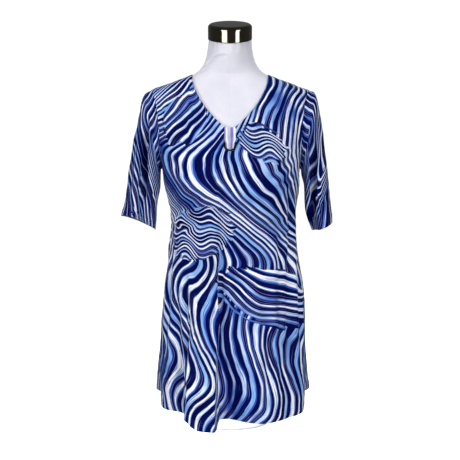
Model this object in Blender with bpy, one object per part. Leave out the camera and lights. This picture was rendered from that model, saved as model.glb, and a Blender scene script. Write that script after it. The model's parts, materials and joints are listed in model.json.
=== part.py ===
"""A V-neck jersey tunic top with elbow sleeves, dressed on a limbless dress form.

Metres, +Z up, the front faces -Y and the origin is the middle of the stand's underside.
The cloth is a thin wall between two grids of points. Each grid is worked out from the
body sections, the fold rows and the hem rows below, so that panels which are sewn
together meet along the same points, one seam gap apart.
"""

import math
from typing import NamedTuple

import bmesh
import bpy
from mathutils import Matrix, Vector

# Cloth and seams
CLOTH = 0.0015
SEAM_GAP = 0.0003

# Heights of the tunic
UNDERARM_Z = 0.5810
SHOULDER_TIP_Z = 0.7565
NECK_POINT_Z = 0.7930
VENT_TOP_Z = 0.1860

# Neckline. Its columns crowd toward the neck points, where the shoulder is round
NECK_HALF_WIDTH = 0.0855
FRONT_NECK_DEPTH = 0.129
FRONT_NECK_CURVE = 2.0
BACK_NECK_DEPTH = 0.026
NECK_CROWDING = 1.8

# How far round the panel, as a share of its half width, the neck point lies
NECK_SHARE = 0.55
# The armhole edge bends in this far between the underarm and the shoulder tip
ARMHOLE_BEND = 0.005
ARMHOLE_MIDDLE = (0.22, 0.0, 0.664)

# Side vents: how far each panel's edge turns back, and how far it stands in or out
FRONT_VENT_ANGLE = 15.0
BACK_VENT_ANGLE = 2.0
FRONT_VENT_INSET = 0.010
BACK_VENT_FLARE = 0.005
VENT_EDGE_WIDTH = 34.0

# Bust: two soft mounds on the front
BUST_X = 0.078
BUST_Z = 0.5440
BUST_RADIUS = 0.058
BUST_HEIGHT = 0.010

# Half the width of a sleeve's crease round the ring, and the share of it that the back has
CREASE_WIDTH = 48.0
BACK_CREASE = 0.5

# Grids
SKIRT_ROWS = 17
YOKE_ROWS = 11
FRONT_COLUMN_STOPS = (-90.0, -49.5, -9.0, 0.0, 49.5, 90.0)
FRONT_COLUMN_COUNTS = (6, 21, 3, 11, 6)
BACK_COLUMN_STOPS = (-90.0, -49.5, 0.0, 49.5, 90.0)
BACK_COLUMN_COUNTS = (6, 9, 9, 6)

# Tab and ring at the point of the V
TAB_THICKNESS = 0.0012
TAB_RISE = 0.0010
RING_CENTRE_Z = 0.6325
RING_RADIUS = 0.0121
RING_WIRE = 0.0019

# Dress form, its cap and its stand
NECK_TILT = 16.5
CAP_CENTRE = (0.0, -0.0205, 0.8695)
CAP_RADIUS = 0.0492
CAP_HEIGHT = 0.034
CAP_ROUNDING = 0.005
FORM_SIDES = 36
BASE_RADIUS = 0.090
BASE_HEIGHT = 0.005
COLLAR_RADIUS = 0.026
COLLAR_HEIGHT = 0.024
POLE_RADIUS = 0.016
ROUND_SIDES = 40


class Section(NamedTuple):
    """A level section of the tunic or of the form: a squared ellipse, deeper or flatter behind."""

    z: float
    centre_x: float
    half_width: float
    front: float
    back: float
    squareness: float
    tilt: float = 0.0


TUNIC_SECTIONS = (
    Section(0.0140, 0.0060, 0.1745, 0.141, 0.138, 2.1),
    Section(0.0790, 0.0062, 0.1735, 0.137, 0.135, 2.1),
    Section(0.1430, 0.0058, 0.1697, 0.133, 0.131, 2.1),
    Section(0.1890, 0.0066, 0.1664, 0.129, 0.128, 2.1),
    Section(0.2340, 0.0078, 0.1650, 0.125, 0.124, 2.1),
    Section(0.2800, 0.0086, 0.1619, 0.121, 0.119, 2.1),
    Section(0.3260, 0.0086, 0.1570, 0.117, 0.110, 2.1),
    Section(0.3710, 0.0084, 0.1492, 0.113, 0.099, 2.1),
    Section(0.4170, 0.0085, 0.1432, 0.111, 0.089, 2.1),
    Section(0.4580, 0.0086, 0.1402, 0.114, 0.086, 2.1),
    Section(0.4850, 0.0080, 0.1420, 0.118, 0.089, 2.1),
    Section(0.5080, 0.0068, 0.1461, 0.122, 0.094, 2.1),
    Section(0.5310, 0.0050, 0.1507, 0.126, 0.099, 2.15),
    Section(0.5490, 0.0040, 0.1538, 0.126, 0.102, 2.2),
    Section(0.5810, 0.0020, 0.1560, 0.119, 0.106, 2.2),
    Section(0.6140, 0.0008, 0.1640, 0.110, 0.108, 2.2),
    Section(0.6640, 0.0000, 0.1830, 0.096, 0.104, 2.2),
    Section(0.7140, 0.0000, 0.1930, 0.078, 0.090, 2.2),
    Section(0.7390, 0.0000, 0.1920, 0.068, 0.074, 2.2),
    Section(0.7565, 0.0000, 0.1800, 0.060, 0.062, 2.2),
    Section(0.7660, 0.0000, 0.1555, 0.0565, 0.0575, 2.15),
    Section(0.7750, 0.0000, 0.1315, 0.054, 0.055, 2.1),
    Section(0.7840, 0.0000, 0.1070, 0.0515, 0.053, 2.1),
    Section(0.7930, 0.0000, 0.0855, 0.049, 0.051, 2.1),
    Section(0.8040, 0.0000, 0.0600, 0.046, 0.048, 2.1),
)

FORM_SECTIONS = (
    Section(0.1790, 0.003, 0.118, 0.078, 0.086, 2.2),
    Section(0.1840, 0.003, 0.134, 0.090, 0.098, 2.2),
    Section(0.2040, 0.003, 0.145, 0.099, 0.106, 2.2),
    Section(0.2540, 0.003, 0.149, 0.103, 0.108, 2.2),
    Section(0.3140, 0.003, 0.142, 0.100, 0.099, 2.2),
    Section(0.3740, 0.003, 0.129, 0.093, 0.085, 2.2),
    Section(0.4580, 0.003, 0.117, 0.087, 0.072, 2.2),
    Section(0.5080, 0.002, 0.127, 0.105, 0.080, 2.2),
    Section(0.5440, 0.001, 0.138, 0.119, 0.089, 2.2),
    Section(0.5810, 0.000, 0.143, 0.112, 0.096, 2.2),
    Section(0.6140, 0.000, 0.146, 0.104, 0.100, 2.3),
    Section(0.6640, 0.000, 0.153, 0.0905, 0.0975, 2.4),
    Section(0.7140, 0.000, 0.163, 0.0725, 0.0835, 2.4),
    Section(0.7390, 0.000, 0.168, 0.0625, 0.0675, 2.3),
    Section(0.7520, 0.000, 0.166, 0.0565, 0.0585, 2.2),
    Section(0.7581, 0.000, 0.160, 0.0545, 0.0560, 2.15),
    Section(0.7643, 0.000, 0.1525, 0.0525, 0.0535, 2.1),
    Section(0.7733, 0.000, 0.1295, 0.0500, 0.0510, 2.0),
    Section(0.7823, 0.000, 0.1050, 0.0480, 0.0490, 2.0),
    Section(0.7912, 0.000, 0.0845, 0.0475, 0.0470, 2.0),
    Section(0.7980, 0.000, 0.0735, 0.0490, 0.0450, 2.0, 3.0),
    Section(0.8070, 0.000, 0.0645, 0.0515, 0.0430, 2.0, 6.0),
    Section(0.8190, 0.000, 0.0575, 0.0550, 0.0400, 2.0, 9.5),
    Section(0.8340, 0.000, 0.0525, 0.0600, 0.0360, 2.0, 13.0),
    Section(0.8520, 0.000, 0.0497, 0.0655, 0.0310, 2.0, 16.5),
    Section(0.8692, 0.000, 0.0488, 0.0688, 0.0278, 2.0, 16.5),
)


class Fold(NamedTuple):
    """A hanging fold. Angles run round the body: 0 is the front, 90 the +X side, 180 the back.
    depth is how far it stands out at the hem, or in if negative, lean how far it is pushed round,
    and steepness how flat its crest is, from 1 for a round one."""

    centre: float
    left_width: float
    right_width: float
    depth: float
    lean: float
    steepness: float
    start_z: float


FOLDS = (
    Fold(-26.0, 16.0, 12.7, 0.042, 0.016, 3.0, 0.440),
    Fold(-2.0, 9.0, 17.0, -0.012, 0.000, 1.2, 0.444),
    Fold(-51.0, 10.0, 10.0, -0.009, 0.000, 1.0, 0.344),
    Fold(-66.0, 12.0, 12.0, 0.005, 0.000, 1.0, 0.294),
    Fold(26.0, 16.0, 18.0, 0.012, 0.000, 1.0, 0.344),
    Fold(52.0, 12.0, 10.0, -0.008, 0.000, 1.0, 0.434),
    Fold(68.0, 12.0, 11.0, 0.006, 0.000, 1.0, 0.394),
    Fold(116.0, 14.0, 14.0, -0.009, 0.000, 1.0, 0.394),
    Fold(142.0, 15.0, 15.0, 0.014, 0.000, 1.0, 0.354),
    Fold(167.0, 13.0, 13.0, -0.010, 0.000, 1.0, 0.374),
    Fold(190.0, 14.0, 14.0, 0.012, 0.000, 1.0, 0.334),
    Fold(214.0, 13.0, 13.0, -0.009, 0.000, 1.0, 0.394),
    Fold(238.0, 14.0, 14.0, 0.012, 0.000, 1.0, 0.354),
)


class HemPoint(NamedTuple):
    """The height of the hem above the floor, at an angle round the body before the vent edges turn back."""

    angle: float
    z: float


FRONT_HEM = (
    HemPoint(-90.0, 0.0520),
    HemPoint(-80.0, 0.0455),
    HemPoint(-62.0, 0.0435),
    HemPoint(-46.0, 0.0420),
    HemPoint(-42.0, 0.0380),
    HemPoint(-38.0, 0.0270),
    HemPoint(-32.0, 0.0195),
    HemPoint(-20.0, 0.0180),
    HemPoint(-17.0, 0.0205),
    HemPoint(-13.0, 0.0375),
    HemPoint(10.0, 0.0310),
    HemPoint(30.0, 0.0280),
    HemPoint(55.0, 0.0280),
    HemPoint(75.0, 0.0350),
    HemPoint(84.0, 0.0430),
    HemPoint(90.0, 0.0540),
)
BACK_HEM = (
    HemPoint(90.0, 0.0770),
    HemPoint(110.0, 0.0540),
    HemPoint(140.0, 0.0400),
    HemPoint(180.0, 0.0360),
    HemPoint(220.0, 0.0400),
    HemPoint(250.0, 0.0540),
    HemPoint(270.0, 0.0740),
)


class SleeveRing(NamedTuple):
    """A sleeve section, from its outer to its inner side. front_rise lifts its front. crease is a fold pressed
    into it at crease_angle, which runs from 0 outside by 90 in front to 180 inside."""

    outer_x: float
    outer_z: float
    inner_x: float
    inner_z: float
    depth: float
    front_rise: float
    crease: float
    crease_angle: float


# The armhole is each sleeve's first ring, so these begin just below it
LEFT_SLEEVE = (
    SleeveRing(0.1905, 0.7490, 0.1570, 0.5770, 0.050, 0.000, 0.001, 60.0),
    SleeveRing(0.2010, 0.7250, 0.1572, 0.5680, 0.052, 0.000, 0.004, 62.0),
    SleeveRing(0.2073, 0.6930, 0.1575, 0.5570, 0.053, 0.000, 0.009, 66.0),
    SleeveRing(0.2150, 0.6560, 0.1578, 0.5430, 0.053, 0.001, 0.013, 74.0),
    SleeveRing(0.2212, 0.6130, 0.1602, 0.5270, 0.052, 0.003, 0.016, 84.0),
    SleeveRing(0.2282, 0.5750, 0.1638, 0.5100, 0.051, 0.005, 0.018, 94.0),
    SleeveRing(0.2340, 0.5340, 0.1660, 0.4890, 0.050, 0.007, 0.018, 104.0),
    SleeveRing(0.2400, 0.5030, 0.1670, 0.4660, 0.049, 0.010, 0.016, 114.0),
    SleeveRing(0.2460, 0.4725, 0.1695, 0.4415, 0.048, 0.013, 0.013, 122.0),
)
RIGHT_SLEEVE = (
    SleeveRing(0.1890, 0.7560, 0.1610, 0.5770, 0.050, 0.000, 0.001, 78.0),
    SleeveRing(0.1978, 0.7360, 0.1618, 0.5680, 0.052, 0.000, 0.005, 82.0),
    SleeveRing(0.2035, 0.7080, 0.1642, 0.5570, 0.053, 0.000, 0.010, 88.0),
    SleeveRing(0.2085, 0.6680, 0.1680, 0.5430, 0.053, 0.000, 0.014, 96.0),
    SleeveRing(0.2140, 0.6260, 0.1688, 0.5270, 0.052, 0.000, 0.017, 104.0),
    SleeveRing(0.2190, 0.5870, 0.1690, 0.5100, 0.051, 0.000, 0.018, 114.0),
    SleeveRing(0.2250, 0.5410, 0.1705, 0.4890, 0.050, -0.001, 0.016, 124.0),
    SleeveRing(0.2285, 0.5000, 0.1765, 0.4660, 0.048, -0.002, 0.012, 134.0),
    SleeveRing(0.2323, 0.4610, 0.1850, 0.4405, 0.045, -0.004, 0.009, 142.0),
)


class TabRow(NamedTuple):
    """The tab at a height: its half width, and the lift of its inner side from 0 on the front to 1 over the ring."""

    z: float
    half_width: float
    lift: float


TAB_ROWS = (
    TabRow(0.6212, 0.0072, 0.00),
    TabRow(0.6250, 0.0079, 0.00),
    TabRow(0.6290, 0.0084, 0.10),
    TabRow(0.6325, 0.0090, 0.50),
    TabRow(0.6362, 0.0096, 0.96),
    TabRow(0.6400, 0.0112, 1.00),
    TabRow(0.6440, 0.0123, 1.00),
    TabRow(0.6475, 0.0125, 0.96),
    TabRow(0.6520, 0.0125, 0.50),
    TabRow(0.6570, 0.0125, 0.15),
    TabRow(0.6640, 0.0125, 0.02),
    TabRow(0.6715, 0.0122, 0.00),
)


# Interpolation


def ease(t):
    """A smooth step from 0 to 1."""
    t = min(max(t, 0.0), 1.0)
    return t * t * (3.0 - 2.0 * t)


def mix(a, b, t):
    return a + (b - a) * t


def through_rows(rows, key):
    """The row at key, read from a smooth curve through rows whose first column rises."""
    kind = type(rows[0])
    if key <= rows[0][0]:
        return rows[0]
    if key >= rows[-1][0]:
        return rows[-1]
    i = next(k for k in range(len(rows) - 1) if key <= rows[k + 1][0])
    return kind(*(curve_value(rows, i, column, key) for column in range(len(rows[0]))))


def curve_value(rows, i, column, key):
    """A cubic between rows i and i + 1 that never overshoots them."""

    def step(k):
        return (rows[k + 1][column] - rows[k][column]) / (rows[k + 1][0] - rows[k][0])

    def slope(k):
        if k == 0 or k == len(rows) - 1:
            return step(min(k, len(rows) - 2))
        before, after = step(k - 1), step(k)
        return 0.0 if before * after <= 0 else 2.0 * before * after / (before + after)

    width = rows[i + 1][0] - rows[i][0]
    t = (key - rows[i][0]) / width
    a, b = rows[i][column], rows[i + 1][column]
    return (
        a * (2 * t**3 - 3 * t**2 + 1)
        + b * (3 * t**2 - 2 * t**3)
        + slope(i) * width * (t**3 - 2 * t**2 + t)
        + slope(i + 1) * width * (t**3 - t**2)
    )


# Tunic body surface


def ellipse_point(section, angle):
    """The point of a section at an angle round the body, in degrees, before its tilt."""
    across, ahead = math.sin(math.radians(angle)), math.cos(math.radians(angle))
    depth = section.front if ahead > 0 else section.back
    n = section.squareness
    reach = (abs(across / section.half_width) ** n + abs(ahead / depth) ** n) ** (-1.0 / n)
    return Vector((section.centre_x + reach * across, -reach * ahead, section.z))


def bust_out(x, z):
    """How far the bust stands out of the front at a point."""
    away = min((x - side * BUST_X) ** 2 for side in (-1, 1)) + (z - BUST_Z) ** 2
    return BUST_HEIGHT * math.exp(-away / BUST_RADIUS**2)


def fold_shape(fold, angle):
    """A fold's height at an angle, from 0 beside it to 1 on its crest."""
    away = (angle - fold.centre + 180.0) % 360.0 - 180.0
    width = fold.left_width if away < 0 else fold.right_width
    return ease(fold.steepness * (1.0 - abs(away) / width))


def folds_at(angle, z):
    """How far the folds stand out, and how far they are pushed round the body, at a point."""
    out, push = 0.0, 0.0
    for fold in FOLDS:
        share = fold_shape(fold, angle) * ease((fold.start_z - z) / fold.start_z)
        out += fold.depth * share
        push += fold.lean * share
    return out, push


def body_point(angle, z):
    """The tunic's outer surface at an angle round the body and a height."""
    point = ellipse_point(through_rows(TUNIC_SECTIONS, z), angle)
    turn = math.radians(angle)
    outward = Vector((math.sin(turn), -math.cos(turn), 0.0))
    around = Vector((math.cos(turn), math.sin(turn), 0.0))
    out, push = folds_at(angle, z)
    point += outward * out + around * push
    if point.y < 0:
        point.y -= bust_out(point.x, z) * min(1.0, -point.y / 0.05)
    return point


def body_normal(angle, z):
    """The outward normal of the tunic's surface."""
    turn, rise = 0.4, 0.0008
    along = body_point(angle + turn, z) - body_point(angle - turn, z)
    up = body_point(angle, z + rise) - body_point(angle, z - rise)
    return along.cross(up).normalized()


def angle_of(x, z, front):
    """The angle round the body of the surface point at x and z."""
    section = through_rows(TUNIC_SECTIONS, z)
    share = min(abs(x - section.centre_x) / section.half_width, 1.0)
    n = section.squareness
    depth = section.front if front else section.back
    y = depth * (1.0 - share**n) ** (1.0 / n)
    turn = math.degrees(math.atan2(abs(x - section.centre_x), y))
    turn = turn if front else 180.0 - turn
    return math.copysign(turn, x - section.centre_x)


# Panel layout


def top_edge(share, front):
    """x and z of the panel's top edge, by share of its half width: neckline, then shoulder seam."""
    side = abs(share)
    if side >= NECK_SHARE:
        along = (1.0 - side) / (1.0 - NECK_SHARE)
        z = mix(SHOULDER_TIP_Z, NECK_POINT_Z, along)
        x = through_rows(TUNIC_SECTIONS, z).half_width
    elif front:
        fall = (1.0 - side / NECK_SHARE) ** NECK_CROWDING
        z = NECK_POINT_Z - FRONT_NECK_DEPTH * fall
        x = NECK_HALF_WIDTH * (1.0 - fall**FRONT_NECK_CURVE)
    else:
        turn = math.radians(90.0) * (1.0 - (1.0 - side / NECK_SHARE) ** NECK_CROWDING)
        z = NECK_POINT_Z - BACK_NECK_DEPTH * math.cos(turn)
        x = NECK_HALF_WIDTH * math.sin(turn)
    return math.copysign(x, share), z


def yoke_place(share, height, front):
    """Angle and height of a panel point above the underarm."""
    start = ellipse_point(through_rows(TUNIC_SECTIONS, UNDERARM_Z), 90.0 * share if front else 180.0 - 90.0 * share)
    top_x, top_z = top_edge(share, front)
    z = mix(UNDERARM_Z, top_z, math.sin(math.radians(90.0) * height))
    bend = ARMHOLE_BEND * math.sin(math.pi * height) * share**3 * abs(share)
    x = mix(start.x, top_x, height) - bend
    return angle_of(x, z, front), z


def vent_opening(z):
    """How far the side vent has opened at a height, from 0 at its top to 1 at the hem."""
    return min(max((VENT_TOP_Z - z) / VENT_TOP_Z, 0.0), 1.0)


def skirt_place(share, height, front):
    """Angle and height of a panel point below the underarm."""
    plain = 90.0 * share if front else 180.0 - 90.0 * share
    hem = through_rows(FRONT_HEM, plain) if front else through_rows(BACK_HEM, plain)
    z = mix(hem.z, UNDERARM_Z, height)
    turned = FRONT_VENT_ANGLE if front else BACK_VENT_ANGLE
    edge = 90.0 - turned * vent_opening(z)
    return (edge * share if front else 180.0 - edge * share), z


def vent_shift(share, z, front):
    """How far a panel's edge stands out of the body at its vent."""
    near_edge = ease(1.0 - 90.0 * (1.0 - abs(share)) / VENT_EDGE_WIDTH)
    return vent_opening(z) * near_edge * (-FRONT_VENT_INSET if front else BACK_VENT_FLARE)


def panel_point(share, row, front):
    """Outer point and normal of a panel, by share of its half width and by row from the hem up."""
    if row < SKIRT_ROWS:
        angle, z = skirt_place(share, row / SKIRT_ROWS, front)
    else:
        angle, z = yoke_place(share, (row - SKIRT_ROWS) / YOKE_ROWS, front)
    normal = body_normal(angle, z)
    point = body_point(angle, z) + normal * vent_shift(share, z, front)
    return point, normal


def keep_side(point, front):
    """Holds a panel point half a seam gap away from the seams' plane."""
    half = SEAM_GAP / 2
    return Vector((point.x, min(point.y, -half) if front else max(point.y, half), point.z))


def column_shares(stops, counts):
    """Where the columns of a panel lie, as shares of its half width."""
    angles = [
        mix(start, end, k / count)
        for start, end, count in zip(stops, stops[1:], counts)
        for k in range(count)
    ]
    return [angle / 90.0 for angle in angles + [stops[-1]]]


# Mesh building


def new_object(name, mesh, material, collection):
    """An object for a finished mesh."""
    mesh.materials.append(material)
    thing = bpy.data.objects.new(name, mesh)
    collection.objects.link(thing)
    return thing


def mesh_from(name, bm, sharp_angle=35.0):
    """A mesh with its faces pointing out, smooth but for its edges."""
    bmesh.ops.recalc_face_normals(bm, faces=bm.faces)
    mesh = bpy.data.meshes.new(name)
    bm.to_mesh(mesh)
    bm.free()
    mesh.shade_smooth()
    mesh.set_sharp_from_angle(angle=math.radians(sharp_angle))
    return mesh


def cloth_wall(name, outer, inner, closed):
    """A closed wall between two grids of points, rows by columns. closed joins the last column to the first."""
    bm = bmesh.new()
    skins = [[[bm.verts.new(p) for p in row] for row in grid] for grid in (outer, inner)]
    rows, columns = len(outer), len(outer[0])
    steps = columns if closed else columns - 1
    for skin in skins:
        for low, high in zip(skin, skin[1:]):
            for c in range(steps):
                d = (c + 1) % columns
                bm.faces.new((low[c], low[d], high[d], high[c]))
    for r in (0, rows - 1):
        for c in range(steps):
            d = (c + 1) % columns
            bm.faces.new((skins[0][r][c], skins[0][r][d], skins[1][r][d], skins[1][r][c]))
    if not closed:
        for c in (0, columns - 1):
            for r in range(rows - 1):
                bm.faces.new((skins[0][r][c], skins[0][r + 1][c], skins[1][r + 1][c], skins[1][r][c]))
    return mesh_from(name, bm)


def loft(name, rings):
    """A closed solid through rings of points, with flat ends."""
    bm = bmesh.new()
    loops = [[bm.verts.new(p) for p in ring] for ring in rings]
    count = len(rings[0])
    for low, high in zip(loops, loops[1:]):
        for k in range(count):
            bm.faces.new((low[k], low[(k + 1) % count], high[(k + 1) % count], high[k]))
    bm.faces.new(loops[0])
    bm.faces.new(loops[-1])
    return mesh_from(name, bm)


def turned(name, profile, sides):
    """A solid turned about Z from a profile of (radius, z) pairs that starts and ends on the axis."""
    bm = bmesh.new()
    verts = [bm.verts.new((radius, 0.0, z)) for radius, z in profile]
    edges = [bm.edges.new(pair) for pair in zip(verts, verts[1:])]
    bmesh.ops.spin(
        bm, geom=verts + edges, cent=(0, 0, 0), axis=(0, 0, 1),
        angle=math.tau, steps=sides, use_merge=True,
    )
    bmesh.ops.remove_doubles(bm, verts=bm.verts, dist=0.00001)
    return mesh_from(name, bm)


# Pieces


def make_panel(name, front, material, collection):
    """The front or the back, from hem to neckline and shoulder seams."""
    stops = FRONT_COLUMN_STOPS if front else BACK_COLUMN_STOPS
    counts = FRONT_COLUMN_COUNTS if front else BACK_COLUMN_COUNTS
    outer, inner = [], []
    for row in range(SKIRT_ROWS + YOKE_ROWS + 1):
        pairs = [panel_point(share, row, front) for share in column_shares(stops, counts)]
        outer.append([keep_side(point, front) for point, _ in pairs])
        inner.append([keep_side(point - normal * CLOTH, front) for point, normal in pairs])
    return new_object(name, cloth_wall(name, outer, inner, False), material, collection)


def armhole(side):
    """The armhole edge as outer points and normals, from the shoulder tip down the front and up the back."""
    front = [panel_point(side, SKIRT_ROWS + YOKE_ROWS - k, True) for k in range(YOKE_ROWS)]
    back = [panel_point(side, SKIRT_ROWS + k, False) for k in range(YOKE_ROWS)]
    return front + back


def armhole_ring(side, second):
    """A sleeve's first ring beside the armhole edge. The wall turns from flush with the panels at the
    shoulder to folded back against them at the underarm, where the sleeve hangs beside the body."""
    edge = armhole(side)
    middle = Vector((side * ARMHOLE_MIDDLE[0], *ARMHOLE_MIDDLE[1:]))
    hollow = sum(second, Vector()) / len(second)
    outer, inner = [], []
    for k, (point, normal) in enumerate(edge):
        along = (edge[(k + 1) % len(edge)][0] - edge[k - 1][0]).normalized()
        beyond = along.cross(normal).normalized()
        beyond = beyond if beyond.dot(middle - point) > 0 else -beyond
        ahead = second[k] - point
        ahead = (ahead - along * ahead.dot(along)).normalized()
        face = along.cross(ahead)
        face = face if face.dot(point - hollow) > 0 else -face
        half_turn = math.acos(min(max(ahead.dot(beyond), -1.0), 1.0)) / 2
        start = point + (beyond * math.cos(half_turn) + normal * math.sin(half_turn)) * SEAM_GAP
        outer.append(start)
        inner.append(start - face * CLOTH)
    return outer, inner


def sleeve_ring(ring, side, inset):
    """The points of one sleeve section, inset from its outer surface."""
    outside = Vector((side * ring.outer_x, 0.0, ring.outer_z))
    inside = Vector((side * ring.inner_x, 0.0, ring.inner_z))
    centre = (outside + inside) / 2
    half = (outside - inside) / 2
    half -= half.normalized() * inset
    points = []
    for k in range(2 * YOKE_ROWS):
        turn = math.pi * k / YOKE_ROWS
        across = Vector((0.0, (inset - ring.depth) * math.sin(turn), ring.front_rise * max(math.sin(turn), 0.0)))
        point = centre + half * math.cos(turn) + across
        away = (math.degrees(turn) - ring.crease_angle + 180.0) % 360.0 - 180.0
        behind = (math.degrees(turn) + ring.crease_angle + 180.0) % 360.0 - 180.0
        press = ring.crease * (crease_shape(away) + BACK_CREASE * crease_shape(behind))
        points.append(point + (centre - point).normalized() * press)
    return points


def crease_shape(away):
    """A crease's depth by angle from its bottom, from 1 there to 0 beside it."""
    return 0.0 if abs(away) >= CREASE_WIDTH else 0.5 + 0.5 * math.cos(math.pi * away / CREASE_WIDTH)


def make_sleeve(name, side, rings, material, collection):
    """A sleeve tube from its armhole to its cuff."""
    outer = [sleeve_ring(ring, side, 0.0) for ring in rings]
    inner = [sleeve_ring(ring, side, CLOTH) for ring in rings]
    first_outer, first_inner = armhole_ring(side, outer[0])
    outer.insert(0, first_outer)
    inner.insert(0, first_inner)
    return new_object(name, cloth_wall(name, outer, inner, True), material, collection)


def front_at(x, z):
    """A point of the front panel's outer surface, and its normal."""
    angle = angle_of(x, z, True)
    return body_point(angle, z), body_normal(angle, z)


def make_tab(name, material, collection):
    """The strip of cloth from the V that lies over the ring's upper half and passes behind its lower one."""
    columns = 4
    height = 2.0 * RING_WIRE + 2.0 * SEAM_GAP + TAB_RISE
    outer, inner = [], []
    for row in TAB_ROWS:
        half = row.half_width
        strip = [front_at(mix(-half, half, c / columns), row.z) for c in range(columns + 1)]
        lift = SEAM_GAP + row.lift * height
        inner.append([point + normal * lift for point, normal in strip])
        outer.append([point + normal * (lift + TAB_THICKNESS) for point, normal in strip])
    return new_object(name, cloth_wall(name, outer, inner, False), material, collection)


def make_ring(name, material, collection):
    """The metal ring, its top wire under the tab and its lower wire over the tab's end."""
    top_z, low_z = RING_CENTRE_Z + RING_RADIUS, RING_CENTRE_Z - RING_RADIUS
    top, top_normal = front_at(0.0, top_z)
    low, low_normal = front_at(0.0, low_z)
    top += top_normal * (SEAM_GAP + RING_WIRE)
    low += low_normal * (3.0 * SEAM_GAP + TAB_THICKNESS + RING_WIRE)
    upward = (top - low).normalized()
    facing = Vector((1, 0, 0)).cross(upward)
    turn = Matrix((Vector((1, 0, 0)), facing.cross(Vector((1, 0, 0))), facing)).transposed()
    bpy.ops.mesh.primitive_torus_add(
        major_radius=RING_RADIUS, minor_radius=RING_WIRE, major_segments=28, minor_segments=8
    )
    ring = bpy.context.object
    ring.name = name
    ring.data.materials.append(material)
    ring.data.shade_smooth()
    ring.matrix_world = Matrix.Translation((top + low) / 2) @ turn.to_4x4()
    for home in ring.users_collection:
        home.objects.unlink(ring)
    collection.objects.link(ring)
    return ring


def form_ring(section):
    """A ring of the dress form, tilted forward about its middle."""
    middle = (section.back - section.front) / 2
    slope = math.tan(math.radians(section.tilt))
    points = []
    for k in range(FORM_SIDES):
        point = ellipse_point(section, 360.0 * k / FORM_SIDES)
        if point.y < 0:
            point.y -= bust_out(point.x, point.z) * min(1.0, -point.y / 0.05)
        point.z += slope * (point.y - middle)
        points.append(point)
    return points


def make_form(name, material, collection):
    """The torso and neck, without arms or head."""
    rings = [form_ring(section) for section in FORM_SECTIONS]
    return new_object(name, loft(name, rings), material, collection)


def make_cap(name, material, collection):
    """The neck cap, a disc with a rounded top edge, tilted with the neck."""
    arc = [
        (
            CAP_RADIUS - CAP_ROUNDING * (1.0 - math.cos(turn)),
            CAP_HEIGHT - CAP_ROUNDING * (1.0 - math.sin(turn)),
        )
        for turn in (math.radians(90.0) * k / 4 for k in range(5))
    ]
    profile = [(0.0, SEAM_GAP), (CAP_RADIUS, SEAM_GAP)] + arc + [(0.0, CAP_HEIGHT)]
    cap = new_object(name, turned(name, profile, ROUND_SIDES), material, collection)
    cap.location = CAP_CENTRE
    cap.rotation_euler = (math.radians(NECK_TILT), 0.0, 0.0)
    return cap


def make_base(name, material, collection):
    """The stand's round plate, with the collar that holds the pole."""
    edge = 0.002
    profile = [
        (0.0, 0.0),
        (BASE_RADIUS, 0.0),
        (BASE_RADIUS, BASE_HEIGHT - edge),
        (BASE_RADIUS - edge, BASE_HEIGHT),
        (COLLAR_RADIUS, BASE_HEIGHT),
        (COLLAR_RADIUS, BASE_HEIGHT + COLLAR_HEIGHT),
        (POLE_RADIUS + SEAM_GAP, BASE_HEIGHT + COLLAR_HEIGHT),
        (POLE_RADIUS + SEAM_GAP, BASE_HEIGHT),
        (0.0, BASE_HEIGHT),
    ]
    return new_object(name, turned(name, profile, ROUND_SIDES), material, collection)


def make_pole(name, material, collection):
    """The short pole between the plate and the form."""
    foot, head = BASE_HEIGHT + SEAM_GAP, FORM_SECTIONS[0].z - SEAM_GAP
    profile = [(0.0, foot), (POLE_RADIUS, foot), (POLE_RADIUS, head), (0.0, head)]
    return new_object(name, turned(name, profile, ROUND_SIDES), material, collection)


def make_material(name, colour, roughness, metallic=0.0):
    """A plain finish."""
    material = bpy.data.materials.new(name)
    material.use_nodes = True
    shader = material.node_tree.nodes["Principled BSDF"]
    shader.inputs["Base Color"].default_value = (*colour, 1.0)
    shader.inputs["Roughness"].default_value = roughness
    shader.inputs["Metallic"].default_value = metallic
    return material


def main():
    for thing in list(bpy.data.objects):
        bpy.data.objects.remove(thing)
    collection = bpy.data.collections.new("tunic_top_on_dress_form")
    bpy.context.scene.collection.children.link(collection)

    jersey = make_material("jersey", (0.10, 0.16, 0.45), 0.55)
    bronze = make_material("bronze", (0.32, 0.24, 0.10), 0.3, 1.0)
    cover = make_material("form_cover", (0.82, 0.82, 0.88), 0.8)
    lacquer = make_material("cap_lacquer", (0.02, 0.017, 0.012), 0.2)
    white_paint = make_material("stand_paint", (0.9, 0.9, 0.9), 0.4)

    make_panel("front", True, jersey, collection)
    make_panel("back", False, jersey, collection)
    make_sleeve("sleeve_left", -1, LEFT_SLEEVE, jersey, collection)
    make_sleeve("sleeve_right", 1, RIGHT_SLEEVE, jersey, collection)
    make_tab("neck_tab", jersey, collection)
    make_ring("neck_ring", bronze, collection)
    make_form("form_torso", cover, collection)
    make_cap("form_cap", lacquer, collection)
    make_pole("stand_pole", white_paint, collection)
    make_base("stand_base", white_paint, collection)


main()
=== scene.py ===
"""A V-neck jersey tunic top with elbow sleeves on a limbless dress form, dressed for a studio photograph.

Metres, +Z up, the front faces -Y. Each cloth piece is a thin shell on the surface of its solid: the same
sections, folds and hem give it a finer grid, which then gets creases, a turned hem and stitches.
"""

import json
import math
from typing import NamedTuple

import bmesh
import bpy
import numpy as np
from mathutils import Matrix, Vector
from mathutils.bvhtree import BVHTree

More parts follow.
